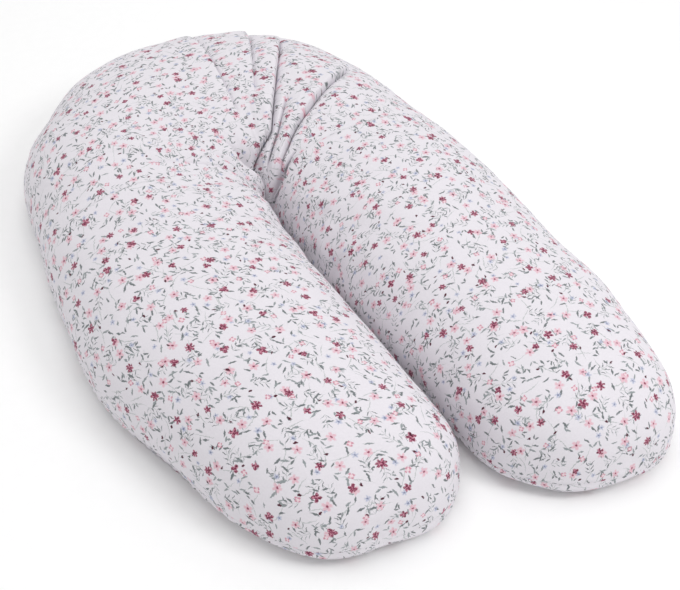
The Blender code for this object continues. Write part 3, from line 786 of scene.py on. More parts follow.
# %% [markdown]
# ## Scattering a motif
# A small floral print looks random but even. A Voronoi pattern gives that: it cuts the cloth into
# cells of about one size, and each cell has one motif, turned by a random angle. The group gives each
# point its place along and across its cell's motif, in metres, and two random numbers for variety.


# %% The scatter group
def scatter_group():
    tree, start, end = new_group(
        "scattered_motifs",
        [("Place", "Vector", None), ("Spacing", "Float", 0.03), ("Shift", "Float", 0.0)],
        [("Along", "Float"), ("Across", "Float"), ("Pick", "Float"), ("Size", "Float")],
    )
    parts = add(tree, "SeparateXYZ", {"Vector": start.outputs["Place"]})
    shifted = []
    for axis, factor in (("X", 1.0), ("Y", 1.7)):
        cells = maths(tree, "DIVIDE", parts.outputs[axis], start.outputs["Spacing"])
        shifted.append(maths(tree, "ADD", cells, maths(tree, "MULTIPLY", start.outputs["Shift"], factor)))
    place = add(tree, "CombineXYZ", {"X": shifted[0], "Y": shifted[1]}).outputs[0]
    cell = add(tree, "TexVoronoi", {"Vector": place, "Scale": 1.0, "Randomness": 0.85},
               voronoi_dimensions="2D")
    middle = add(tree, "SeparateXYZ", {"Vector": cell.outputs["Position"]})
    random = add(tree, "SeparateColor", {"Color": cell.outputs["Color"]})
    offset = []
    for value, axis in zip(shifted, ("X", "Y")):
        gap = maths(tree, "SUBTRACT", value, middle.outputs[axis])
        offset.append(maths(tree, "MULTIPLY", gap, start.outputs["Spacing"]))
    angle = maths(tree, "MULTIPLY", random.outputs["Red"], 2 * math.pi)
    cosine, sine = maths(tree, "COSINE", angle), maths(tree, "SINE", angle)
    along = maths(tree, "ADD", maths(tree, "MULTIPLY", offset[0], cosine),
                  maths(tree, "MULTIPLY", offset[1], sine))
    across = maths(tree, "SUBTRACT", maths(tree, "MULTIPLY", offset[1], cosine),
                   maths(tree, "MULTIPLY", offset[0], sine))
    for name, value in (("Along", along), ("Across", across), ("Pick", random.outputs["Green"]),
                        ("Size", random.outputs["Blue"])):
        feed(tree, end.inputs[name], value)
    return tree


SCATTER = scatter_group()

# %% [markdown]
# ## Motifs: a flower, a leaf and a sprig
# Each motif is a small formula on the place along and across it. A flower compares the distance from
# its middle with a radius that swells five times round the circle. A leaf is the space between two
# arcs. A sprig repeats a slanted leaf along a curved stem, on both sides.


# %% The motif groups
def flower_group():
    tree, start, end = new_group(
        "five_petals",
        [("Along", "Float", 0.0), ("Across", "Float", 0.0), ("Radius", "Float", 0.005),
         ("Petals", "Float", 5.0), ("Blur", "Float", 0.15), ("Middle", "Float", 0.26)],
        [("Petal", "Float"), ("Heart", "Float")],
    )
    a, b, radius = (start.outputs[n] for n in ("Along", "Across", "Radius"))
    squares = maths(tree, "MULTIPLY", a, a), maths(tree, "MULTIPLY", b, b)
    away = maths(tree, "SQRT", maths(tree, "ADD", *squares))
    share = maths(tree, "DIVIDE", away, radius)
    turn = maths(tree, "MULTIPLY", maths(tree, "ARCTAN2", b, a), start.outputs["Petals"])
    lobe = maths(tree, "ABSOLUTE", maths(tree, "COSINE", maths(tree, "MULTIPLY", turn, 0.5)))
    reach = maths(tree, "MULTIPLY_ADD", maths(tree, "POWER", lobe, 0.55), 0.66, 0.34)
    room = maths(tree, "SUBTRACT", reach, share)
    petal = maths(tree, "DIVIDE", room, start.outputs["Blur"], clamp=True)
    heart = maths(tree, "DIVIDE", maths(tree, "SUBTRACT", start.outputs["Middle"], share), 0.14, clamp=True)
    for name, value in (("Petal", petal), ("Heart", heart)):
        feed(tree, end.inputs[name], value)
    return tree


def leaf_group():
    tree, start, end = new_group(
        "slender_leaf",
        [("Along", "Float", 0.0), ("Across", "Float", 0.0), ("Length", "Float", 0.009),
         ("Width", "Float", 0.002), ("Bow", "Float", 20.0)],
        [("Leaf", "Float")],
    )
    a, width = start.outputs["Along"], start.outputs["Width"]
    bow = maths(tree, "MULTIPLY", maths(tree, "MULTIPLY", a, a), start.outputs["Bow"])
    b = maths(tree, "ABSOLUTE", maths(tree, "SUBTRACT", start.outputs["Across"], bow))
    half = maths(tree, "DIVIDE", maths(tree, "MULTIPLY", a, 2.0), start.outputs["Length"])
    arc = maths(tree, "SUBTRACT", 1.0, maths(tree, "MULTIPLY", half, half))
    edge = maths(tree, "MULTIPLY", maths(tree, "MULTIPLY", arc, width), 0.5)
    room = maths(tree, "SUBTRACT", edge, b)
    soft = maths(tree, "DIVIDE", room, maths(tree, "MULTIPLY", width, 0.22), clamp=True)
    feed(tree, end.inputs["Leaf"], soft)
    return tree


FLOWER, LEAF = flower_group(), leaf_group()


def leaf_pair_group():
    """Two leaves that part in a V from one point."""
    tree, start, end = new_group(
        "leaf_pair",
        [("Along", "Float", 0.0), ("Across", "Float", 0.0), ("Length", "Float", 0.008)],
        [("Leaf", "Float")],
    )
    a, length = start.outputs["Along"], start.outputs["Length"]
    b = maths(tree, "ABSOLUTE", start.outputs["Across"])
    cosine, sine = math.cos(math.radians(32)), math.sin(math.radians(32))
    along = maths(tree, "ADD", maths(tree, "MULTIPLY", a, cosine), maths(tree, "MULTIPLY", b, sine))
    across = maths(tree, "SUBTRACT", maths(tree, "MULTIPLY", b, cosine), maths(tree, "MULTIPLY", a, sine))
    leaf = use(tree, LEAF, Along=maths(tree, "SUBTRACT", along, maths(tree, "MULTIPLY", length, 0.55)),
               Across=across, Length=length, Width=0.0024, Bow=18.0)
    feed(tree, end.inputs["Leaf"], leaf.outputs["Leaf"])
    return tree


LEAF_PAIR = leaf_pair_group()


def sprig_group():
    tree, start, end = new_group(
        "leafy_sprig",
        [("Along", "Float", 0.0), ("Across", "Float", 0.0), ("Length", "Float", 0.018),
         ("Pitch", "Float", 0.0045)],
        [("Leaves", "Float"), ("Stem", "Float")],
    )
    a, pitch = start.outputs["Along"], start.outputs["Pitch"]
    curve = maths(tree, "MULTIPLY", maths(tree, "MULTIPLY", a, a), 14.0)
    b = maths(tree, "SUBTRACT", start.outputs["Across"], curve)
    half = maths(tree, "MULTIPLY", start.outputs["Length"], 0.5)
    inside = maths(tree, "GREATER_THAN", half, maths(tree, "ABSOLUTE", a))
    stem = maths(tree, "SUBTRACT", 1.0, maths(tree, "DIVIDE", maths(tree, "ABSOLUTE", b), 0.0005), clamp=True)
    aside = maths(tree, "ABSOLUTE", b)
    slid = maths(tree, "SUBTRACT", a, aside)
    local = maths(tree, "SUBTRACT", maths(tree, "PINGPONG", slid, pitch), maths(tree, "MULTIPLY", pitch, 0.5))
    middle = maths(tree, "SUBTRACT", aside, maths(tree, "MULTIPLY", pitch, 0.55))
    leaf = use(tree, LEAF, Along=middle, Across=local, Length=maths(tree, "MULTIPLY", pitch, 1.0),
               Width=maths(tree, "MULTIPLY", pitch, 0.34), Bow=0.0)
    feed(tree, end.inputs["Leaves"], maths(tree, "MULTIPLY", leaf.outputs["Leaf"], inside))
    feed(tree, end.inputs["Stem"], maths(tree, "MULTIPLY", stem, inside))
    return tree


SPRIG = sprig_group()

# %% [markdown]
# ## The printed cotton
# A printer lays a print down colour by colour, palest first: thin stems, leaves, pale blue flowers,
# rose rings, pink flowers with a dark heart, then small burgundy blooms and buds. The material does the
# same, one scatter after another. The cloth itself is matt white with a hint of lavender, a soft
# weave, and a little sheen from its loose fibres.

# %% Colours of the print
CLOTH_WHITE = to_linear(230, 226, 232)
STEM_GREY = to_linear(192, 195, 196)
LEAF_GREY = to_linear(114, 121, 123)
LEAF_PALE = to_linear(148, 155, 157)
FLOWER_BLUE = to_linear(184, 189, 210)
HEART_BLUE = to_linear(128, 134, 160)
PETAL_PINK = to_linear(228, 190, 201)
HEART_RED = to_linear(140, 54, 82)
ROSE = to_linear(206, 142, 160)
RING_MIDDLE = to_linear(238, 214, 220)
BURGUNDY = to_linear(142, 66, 92)
BURGUNDY_DARK = to_linear(82, 26, 46)


def new_material(name, roughness, metallic=0.0, **constants):
    """A material with its shader; numbers that are the same all over go straight onto the shader."""
    made = bpy.data.materials.new(name)
    made.use_nodes = True
    shader = made.node_tree.nodes["Principled BSDF"]
    shader.inputs["Roughness"].default_value = roughness
    shader.inputs["Metallic"].default_value = metallic
    for key, value in constants.items():
        shader.inputs[key.replace("_", " ")].default_value = value
    return made, made.node_tree, shader


def pattern_place(tree):
    return add(tree, "UVMap", uv_map="UVMap").outputs[0]


def relief(tree, shader, height, depth, strength=1.0):
    bump = add(tree, "Bump", {"Height": height, "Distance": depth, "Strength": strength})
    feed(tree, shader.inputs["Normal"], bump.outputs[0])


def scatter(tree, place, spacing, shift):
    made = use(tree, SCATTER, Place=place, Spacing=spacing, Shift=shift)
    return [made.outputs[name] for name in ("Along", "Across", "Pick", "Size")]


def sized(tree, size, small, large):
    """A length between small and large, from a random number."""
    return maths(tree, "MULTIPLY_ADD", size, large - small, small)


def chosen(tree, mask, pick, share):
    """Keeps a motif in only some of its cells."""
    return maths(tree, "MULTIPLY", mask, maths(tree, "LESS_THAN", pick, share))


def printed_cotton():
    made, tree, shader = new_material("printed_cotton", 0.86, Sheen_Weight=0.12, Sheen_Roughness=0.5,
                                      Specular_IOR_Level=0.25)
    flat = pattern_place(tree)
    ragged = add(tree, "TexNoise", {"Vector": flat, "Scale": 420.0, "Detail": 1.0}).outputs["Color"]
    drift = add(tree, "VectorMath", {0: ragged, 1: (0.5, 0.5, 0.5)}, operation="SUBTRACT").outputs[0]
    drift = add(tree, "VectorMath", {0: drift, "Scale": 0.0028}, operation="SCALE").outputs[0]
    place = add(tree, "VectorMath", {0: flat, 1: drift}, operation="ADD").outputs[0]
    colour = CLOTH_WHITE
    for spacing, shift, length in ((0.032, 3.7, 0.030), (0.036, 8.1, 0.024)):
        a, b, pick, size = scatter(tree, place, spacing, shift)
        stem = use(tree, LEAF, Along=a, Across=b, Length=length, Width=0.0012,
                   Bow=maths(tree, "MULTIPLY_ADD", size, 50.0, -25.0))
        colour = stain(tree, colour, STEM_GREY, stem.outputs["Leaf"])
    for spacing, shift, pitch, length, tint in ((0.034, 1.3, 0.0050, 0.015, LEAF_PALE),
                                                (0.040, 5.9, 0.0056, 0.017, LEAF_GREY)):
        a, b, pick, size = scatter(tree, place, spacing, shift)
        sprig = use(tree, SPRIG, Along=a, Across=b, Length=length, Pitch=pitch)
        colour = stain(tree, colour, STEM_GREY, chosen(tree, sprig.outputs["Stem"], pick, 0.7))
        colour = stain(tree, colour, tint, chosen(tree, sprig.outputs["Leaves"], pick, 0.7))
    for spacing, shift, tint in ((0.0260, 9.5, LEAF_GREY), (0.0290, 13.5, LEAF_PALE)):
        a, b, pick, size = scatter(tree, place, spacing, shift)
        pair = use(tree, LEAF_PAIR, Along=a, Across=b, Length=sized(tree, size, 0.0058, 0.0090))
        colour = stain(tree, colour, tint, chosen(tree, pair.outputs["Leaf"], pick, 0.8))
    for spacing, shift, tint in ((0.0190, 2.2, LEAF_GREY), (0.0215, 6.4, LEAF_PALE)):
        a, b, pick, size = scatter(tree, place, spacing, shift)
        leaf = use(tree, LEAF, Along=a, Across=b, Length=sized(tree, size, 0.0070, 0.0125),
                   Width=sized(tree, size, 0.0023, 0.0029),
                   Bow=maths(tree, "MULTIPLY_ADD", pick, 60.0, -30.0))
        colour = stain(tree, colour, tint, leaf.outputs["Leaf"])
    a, b, pick, size = scatter(tree, place, 0.036, 4.4)
    bloom = use(tree, FLOWER, Along=a, Across=b, Radius=sized(tree, size, 0.0032, 0.0046),
                Blur=0.5, Middle=0.30)
    colour = stain(tree, colour, FLOWER_BLUE, bloom.outputs["Petal"])
    colour = stain(tree, colour, HEART_BLUE, bloom.outputs["Heart"])
    a, b, pick, size = scatter(tree, place, 0.044, 7.7)
    bloom = use(tree, FLOWER, Along=a, Across=b, Radius=sized(tree, size, 0.0034, 0.0044),
                Petals=4.0, Blur=0.3, Middle=0.50)
    colour = stain(tree, colour, ROSE, bloom.outputs["Petal"])
    colour = stain(tree, colour, RING_MIDDLE, bloom.outputs["Heart"])
    a, b, pick, size = scatter(tree, place, 0.034, 0.6)
    bloom = use(tree, FLOWER, Along=a, Across=b, Radius=sized(tree, size, 0.0052, 0.0064), Blur=0.30)
    colour = stain(tree, colour, PETAL_PINK, bloom.outputs["Petal"])
    colour = stain(tree, colour, HEART_RED, bloom.outputs["Heart"])
    a, b, pick, size = scatter(tree, place, 0.043, 12.9)
    bloom = use(tree, FLOWER, Along=a, Across=b, Radius=sized(tree, size, 0.0042, 0.0062),
                Petals=sized(tree, pick, 3.0, 7.0), Blur=0.22)
    blotch = add(tree, "TexNoise", {"Vector": flat, "Scale": 520.0, "Detail": 1.0}).outputs["Fac"]
    torn = maths(tree, "MULTIPLY_ADD", blotch, -9.0, 5.6, clamp=True)
    petal = maths(tree, "MULTIPLY", bloom.outputs["Petal"], torn)
    colour = stain(tree, colour, ROSE, bloom.outputs["Petal"])
    colour = stain(tree, colour, BURGUNDY, petal)
    dark = maths(tree, "MULTIPLY_ADD", blotch, -8.0, 3.7, clamp=True)
    colour = stain(tree, colour, BURGUNDY_DARK, maths(tree, "MULTIPLY", petal, dark))
    a, b, pick, size = scatter(tree, place, 0.038, 15.3)
    bud = use(tree, LEAF, Along=a, Across=b, Length=0.0052, Width=sized(tree, size, 0.0020, 0.0036), Bow=0.0)
    colour = stain(tree, colour, BURGUNDY_DARK, bud.outputs["Leaf"])
    threads = use(tree, WEAVE, Place=flat, Thread=0.00055, Slub=0.5)
    worn = maths(tree, "MULTIPLY_ADD", threads.outputs["Shade"], 0.10, 0.94)
    tint = add(tree, "CombineColor", {"Red": worn, "Green": worn, "Blue": worn}).outputs[0]
    shade = tree.nodes.new("ShaderNodeMix")
    shade.data_type, shade.blend_type = "RGBA", "MULTIPLY"
    for number, value in ((0, 1.0), (6, colour), (7, tint)):
        feed(tree, shade.inputs[number], value)
    feed(tree, shader.inputs["Base Color"], shade.outputs[2])
    crinkle = add(tree, "TexNoise", {"Vector": flat, "Scale": 140.0, "Detail": 3.0})
    height = maths(tree, "MULTIPLY_ADD", crinkle.outputs["Fac"], 1.6, threads.outputs["Height"])
    relief(tree, shader, height, 0.00022)
    return made


PRINTED_COTTON = printed_cotton()
print("print: nodes in the cotton's material:", len(PRINTED_COTTON.node_tree.nodes))

# %% [markdown]
# ## The other finishes
# The liner is plain cotton, the filling a mat of crimped fibre, the zip's tape a dense weave, its coil
# white nylon, its slider plated metal, and the care label a satin. The woven ones reuse the weave group
# with other thread sizes; only the numbers differ.


# %% Plain cloths
def plain_cloth(name, colour, thread, slub, depth, roughness, spread_share, **constants):
    """A one-colour woven cloth whose shade wanders a little."""
    made, tree, shader = new_material(name, roughness, **constants)
    place = pattern_place(tree)
    threads = use(tree, WEAVE, Place=place, Thread=thread, Slub=slub)
    dark = tuple(c * (1 - spread_share) for c in colour[:3]) + (1.0,)
    feed(tree, shader.inputs["Base Color"], stain(tree, dark, colour, threads.outputs["Shade"]))
    relief(tree, shader, threads.outputs["Height"], depth)
    return made


LINER_COTTON = plain_cloth("liner_cotton", to_linear(240, 239, 234), 0.0005, 0.6, 0.0002, 0.9, 0.12)
ZIP_TAPE = plain_cloth("zip_tape", to_linear(232, 230, 236), 0.0007, 0.3, 0.0003, 0.8, 0.16,
                       Sheen_Weight=0.1)
SATIN = plain_cloth("satin_label", to_linear(246, 246, 247), 0.00025, 0.2, 0.00006, 0.38, 0.06,
                    Sheen_Weight=0.2, Anisotropic=0.4)
THREAD = plain_cloth("sewing_thread", to_linear(240, 238, 242), 0.0003, 0.5, 0.0002, 0.6, 0.10,
                     Sheen_Weight=0.2)


# %% Filling, nylon and metal
def fibre_filling():
    made, tree, shader = new_material("fibre_filling", 1.0, Sheen_Weight=0.5, Sheen_Roughness=0.7)
    place = pattern_place(tree)
    balls = add(tree, "TexVoronoi", {"Vector": place, "Scale": 90.0})
    curls = add(tree, "TexNoise", {"Vector": place, "Scale": 600.0, "Detail": 4.0, "Distortion": 2.0})
    height = maths(tree, "MULTIPLY_ADD", balls.outputs["Distance"], -1.5, curls.outputs["Fac"])
    feed(tree, shader.inputs["Base Color"],
         stain(tree, to_linear(214, 214, 214), to_linear(246, 246, 246), curls.outputs["Fac"]))
    relief(tree, shader, height, 0.002)
    return made


def nylon_coil():
    made, tree, shader = new_material("zip_coil_nylon", 0.32, Subsurface_Weight=0.15, Coat_Weight=0.2)
    place = pattern_place(tree)
    haze = add(tree, "TexNoise", {"Vector": place, "Scale": 900.0, "Detail": 2.0})
    feed(tree, shader.inputs["Base Color"],
         stain(tree, to_linear(214, 213, 218), to_linear(238, 237, 240), haze.outputs["Fac"]))
    feed(tree, shader.inputs["Roughness"], maths(tree, "MULTIPLY_ADD", haze.outputs["Fac"], 0.2, 0.22))
    return made


def plated_metal():
    made, tree, shader = new_material("zip_plated_metal", 0.25, 1.0)
    place = add(tree, "TexCoord").outputs["Object"]
    rub = add(tree, "TexNoise", {"Vector": place, "Scale": 420.0, "Detail": 5.0})
    scratch = add(tree, "TexNoise", {"Vector": place, "Scale": 2600.0, "Detail": 2.0})
    feed(tree, shader.inputs["Base Color"],
         stain(tree, to_linear(138, 138, 143), to_linear(196, 196, 199), rub.outputs["Fac"]))
    feed(tree, shader.inputs["Roughness"], maths(tree, "MULTIPLY_ADD", rub.outputs["Fac"], 0.28, 0.14))
    relief(tree, shader, scratch.outputs["Fac"], 0.00003, 0.6)
    return made


FIBRE, NYLON, METAL = fibre_filling(), nylon_coil(), plated_metal()

# %% [markdown]
# ## Sewing up the panels
# Each panel becomes a closed thin sheet: an outer face, an inner face a third of a millimetre below,
# and a rim. The pillow opens at two hinges, and a piece can bend across only one of them, so each
# panel is made in a left and a right half that meet at the middle of the back. Both halves take their
# shading from the whole panel, and the join then doesn't show.

# %% Panels
CLOTH_THICK = 0.00035


def finish_mesh(name, points, faces, places, material, normals=None):
    """An object from points, faces and each face corner's place on the flat cloth."""
    data = bpy.data.meshes.new(name)
    data.from_pydata(np.asarray(points).tolist(), [], faces)
    layer = data.uv_layers.new(name="UVMap")
    layer.data.foreach_set("uv", np.asarray(places, np.float32).ravel())
    data.materials.append(material)
    data.shade_smooth()
    if normals is not None:
        data.normals_split_custom_set_from_vertices(np.asarray(normals).tolist())
    piece = bpy.data.objects.new(name, data)
    bpy.context.scene.collection.objects.link(piece)
    return piece


def turned_over(faces, corners):
    """The same faces seen from their other side."""
    turned, at = [], 0
    for face in faces:
        turned.extend(corners[at : at + len(face)][::-1])
        at += len(face)
    return [face[::-1] for face in faces], turned


def sheet_of(name, grid, facing, pattern, rows, material, thick=CLOTH_THICK):
    """A closed thin sheet over some of a panel's rows, whose first and last rows are the tips."""
    part, out, flat = grid[rows], facing[rows], pattern[rows]
    poles = [n for n, i in enumerate(rows) if i in (0, len(grid) - 1)]
    count, wide = part.shape[:2]
    ids = numbered(count, wide, poles)
    size = count * wide
    points = np.concatenate([part.reshape(-1, 3), (part - out * thick).reshape(-1, 3)])
    normals = np.concatenate([out.reshape(-1, 3), -out.reshape(-1, 3)])
    faces, corners = [], []
    for ring in grid_faces(count, wide, poles):
        faces.append([int(ids[c]) for c in ring])
        corners.extend(flat[c] for c in ring)
        faces.append([int(ids[c]) + size for c in reversed(ring)])
        corners.extend(flat[c] for c in reversed(ring))
    rim = [(0, j) for j in range(wide - 1)] if 0 not in poles else [(0, 0)]
    rim += [(i, wide - 1) for i in range(0 if 0 not in poles else 1, count - 1)]
    rim += [(count - 1, j) for j in range(wide - 1, 0, -1)] if count - 1 not in poles else [(count - 1, 0)]
    rim += [(i, 0) for i in range(count - 1 if count - 1 not in poles else count - 2, 0, -1)]
    for one, two in zip(rim, rim[1:] + rim[:1]):
        a, b = int(ids[one]), int(ids[two])
        faces.append([b, a, a + size, b + size])
        corners.extend([flat[two], flat[one], flat[one], flat[two]])
    used = np.unique([v for face in faces for v in face])
    renumber = np.zeros(2 * size, int)
    renumber[used] = np.arange(len(used))
    faces = [[int(renumber[v]) for v in face] for face in faces]
    first = faces[len(faces) // 3]
    tri = points[used][first[:3]]
    if np.dot(np.cross(tri[1] - tri[0], tri[2] - tri[0]), normals[used][first[0]]) < 0:
        faces, corners = turned_over(faces, corners)
    return finish_mesh(name, points[used], faces, corners, material, normals[used])


HALVES = {"left": range(0, MIDDLE + 1), "right": range(MIDDLE, len(ribs))}


def hang_on(piece, side, slot, *nodes):
    """Bakes a soft half's placement into its points and hides the solids that it replaces."""
    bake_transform(piece)
    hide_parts(*nodes)
    return piece


facing_now = {"top": grid_normals(cover_top, True), "bottom": grid_normals(cover_foot, False)}
for name, grid, pattern in (("top", cover_top, top_pattern), ("bottom", cover_foot, foot_pattern)):
    for side, rows in HALVES.items():
        piece = sheet_of(f"cover_{name}_{side}", grid, facing_now[name], pattern, rows, PRINTED_COTTON)
        hang_on(piece, side, "printed_cotton", f"cover_{name}_{side}_arm", f"cover_{name}_bend")
        print(piece.name, len(piece.data.polygons), "faces")

# %% [markdown]
# ## Liner and filling
# Under the cover lies a plain liner that keeps the fibre balls in when the cover is washed, and then the
# filling itself. Nobody sees them while the zip is shut, but they are there when the cover is lifted
# off, so they follow the cover's form at their own depth, deeper where the pleats cut in.

# %% Inner layers
LINER_DEPTH, FILLING_DEPTH = 0.0022, 0.0050  # below the lowest cover nearby
LINER_THICK = 0.0002
ZIP_ROOM = 0.0040  # how far the inner layers stand back behind the zip
NEARBY = 4  # grid steps over which the lowest cover counts


def lowest_nearby(field, steps):
    """Each point takes the smallest value among its neighbours, a few steps each way."""
    for _ in range(steps):
        for axis in (0, 1):
            last = field.shape[axis] - 1
            before = field.take([0, *range(last)], axis)
            after = field.take([*range(1, last + 1), last], axis)
            field = np.minimum(field, np.minimum(before, after))
    return field


def inner_grid(cover, smooth, facing, depth, zip_column):
    """A soft layer that stays below the cover, pleats and creases included."""
    raised = np.sum((cover - smooth) * facing, axis=2)
    down = softened(lowest_nearby(raised, NEARBY), 2) - depth
    away = np.linalg.norm(smooth - smooth[:, zip_column : zip_column + 1 or None], axis=2)
    down = down - ZIP_ROOM * slot_share()[:, None] * (1 - ease(0.0, 0.03, away))
    return smooth + facing * down[..., None]


def thinned(grid):
    """Every second row and column, with both ends and the middle row kept."""
    rows = sorted({*range(0, len(grid), 2), MIDDLE, len(grid) - 1})
    columns = sorted({*range(0, grid.shape[1], 2), grid.shape[1] - 1})
    return grid[np.ix_(rows, columns)], rows.index(MIDDLE)


layers = {"top": (cover_top, smooth_top, top_facing, top_pattern, -1),
          "bottom": (cover_foot, smooth_foot, foot_facing, foot_pattern, 0)}
filling_grids = {}
for name, (cover, smooth, facing, pattern, zip_column) in layers.items():
    lined, middle = thinned(inner_grid(cover, smooth, facing, LINER_DEPTH, zip_column))
    filling_grids[name], _ = thinned(inner_grid(cover, smooth, facing, FILLING_DEPTH, zip_column))
    lined_facing, flat = thinned(facing)[0], thinned(pattern)[0]
    for side, rows in (("left", range(0, middle + 1)), ("right", range(middle, len(lined)))):
        piece = sheet_of(f"liner_{name}_{side}", lined, lined_facing, flat, rows, LINER_COTTON, LINER_THICK)
        hang_on(piece, side, "liner_cotton", f"liner_{name}_{side}_arm", f"liner_{name}_bend")


# %% Filling
LUMP_SIZE, LUMP_SHARE = 0.022, 0.006  # the fibre balls' lumps, and how far they pull in towards the middle


def filling_half(side):
    """A closed body: rings over the top and back under the foot, with a cap where the halves meet."""
    rings = np.concatenate([filling_grids["top"], filling_grids["bottom"][:, 1:-1]], axis=1)
    middle = thinned(smooth_top)[1]
    rings = rings[: middle + 1] if side == "left" else rings[middle:][::-1]
    lumps = soft_noise(rings, LUMP_SIZE, 5.5)[..., None]
    centre = rings.mean(axis=1, keepdims=True)
    rings = rings + (centre - rings) * (LUMP_SHARE + LUMP_SHARE * lumps)
    rings[0] = rings[0].mean(axis=0)
    count, columns = rings.shape[:2]
    ids = np.arange(count * columns).reshape(count, columns)
    ids[0] = 0
    faces, corners = [], []
    for i in range(count - 1):
        for j in range(columns):
            k = (j + 1) % columns
            ring = [(i, j), (i, k), (i + 1, k), (i + 1, j)][0 if i else 1 :]
            faces.append([int(ids[c]) for c in ring])
            corners.extend((c[0] * 0.011, (j + (c[1] != j)) * 0.009) for c in ring)
    faces.append([int(v) for v in ids[-1]])
    corners.extend((p[0], p[2]) for p in rings[-1])
    used = np.unique(ids)
    renumber = np.zeros(count * columns, int)
    renumber[used] = np.arange(len(used))
    faces = [[int(renumber[v]) for v in face] for face in faces]
    if side == "right":
        faces, corners = turned_over(faces, corners)
    return finish_mesh(f"filling_{side}", rings.reshape(-1, 3)[used], faces, corners, FIBRE)


for side in SIDES:
    piece = hang_on(filling_half(side), side, "fibre_filling", f"filling_{side}_arm", "filling_bend")

# %% [markdown]
# ## The zip
# A pillow's zip is a nylon coil: one long wire wound into turns and sewn to a woven tape, once for each
# side. The coils are swept along the back's round as a helix with a flat-sided cross-section, the way
# the real wire is pressed, and the tapes are bent strips that run in behind the cover's edges.


# %% Zip helpers
def on_back(radius, turn, height):
    """A point on the back's round: turn in radians about its centre."""
    return np.stack([CROTCH_X + radius * np.cos(turn), BACK_CENTRE_Y + radius * np.sin(turn),
                     np.broadcast_to(height, np.shape(turn))], axis=-1)


def turn_span(node):
    """The first and last angle, in radians, that a CAD strip covers on the back's round."""
    corners = frame["nodes"][node].data.vertices
    turns = [math.atan2(v.co.y - BACK_CENTRE_Y, v.co.x - CROTCH_X) for v in corners]
    return min(turns), max(turns)


def swept(name, rings, material):
    """A closed body through rings of points, with a face at each end."""
    rings = np.asarray(rings)
    count, sides = rings.shape[:2]
    faces, corners = [], []
    around = length_along(rings[0])
    around = np.append(around, around[-1] + np.linalg.norm(rings[0, 0] - rings[0, -1]))
    along = length_along(rings.mean(axis=1))
    for i in range(count - 1):
        for j in range(sides):
            k = (j + 1) % sides
            faces.append([i * sides + j, i * sides + k, (i + 1) * sides + k, (i + 1) * sides + j])
            corners.extend([(along[i], around[j]), (along[i], around[j + 1]),
                            (along[i + 1], around[j + 1]), (along[i + 1], around[j])])
    for ring in (list(range(sides))[::-1], [(count - 1) * sides + j for j in range(sides)]):
        faces.append(ring)
        corners.extend([(0.0, around[n % sides]) for n in range(sides)])
    points = rings.reshape(-1, 3)
    one, two = rings[0], rings[1]
    outward = np.cross(one[1] - one[0], two[0] - one[0])
    if np.dot(outward, one[0] - one.mean(axis=0)) < 0:
        faces, corners = turned_over(faces, corners)
    return finish_mesh(name, points, faces, corners, material)


def ride_bend(piece, slot, *nodes):
    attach(piece, "bend")
    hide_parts(*nodes)
    return piece


# %% Tapes and coils
TAPE_DEPTH = 0.0004  # the tape's outer face, behind the back's round
TAPE_THICK = 0.0005
TAPE_STEPS = 150
COIL_PITCH = 0.0016
WIRE = (0.00033, 0.00044)  # the wire's half thickness, and half width along the zip
TURN_POINTS, WIRE_SIDES = 10, 6
LOWER_LEAN = 0.0016  # how far the lower tape leans in, because the foot slopes in below the seam
TAPE_END, TAPE_SUNK = math.radians(2.4), 0.0024  # past the stops each tape runs on, and sinks in
NEAREST = 0.0003  # what stays free on each side of the middle, for the slider's post


def zip_tape(name, way):
    """A woven strip of one thickness, whose edge away from the coil leans in under the cover."""
    first, last = turn_span(f"zip_tape_{name}")
    box_low, box_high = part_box(f"zip_tape_{name}")
    far = max(abs(box_low.z - SEAM_HEIGHT), abs(box_high.z - SEAM_HEIGHT))
    lean = LOWER_LEAN if way < 0 else 0.0004
    outer = [(TAPE_DEPTH, NEAREST), (TAPE_DEPTH, (NEAREST + far) / 2), (TAPE_DEPTH + lean / 3, far),
             (TAPE_DEPTH + lean, far + 0.0022)]
    profile = outer + [(depth + TAPE_THICK, high) for depth, high in outer[::-1]]
    rings = []
    for turn in np.linspace(first - TAPE_END, last + TAPE_END, TAPE_STEPS):
        past = ease(0.0, TAPE_END, max(first - turn, turn - last, 0.0))
        radius = BACK_RADIUS - TAPE_SUNK * past
        rings.append([on_back(radius - depth, turn, SEAM_HEIGHT + way * high) for depth, high in profile])
    piece = swept(f"zip_tape_{name}_woven", rings, ZIP_TAPE)
    return ride_bend(piece, "zip_tape", f"zip_tape_{name}")


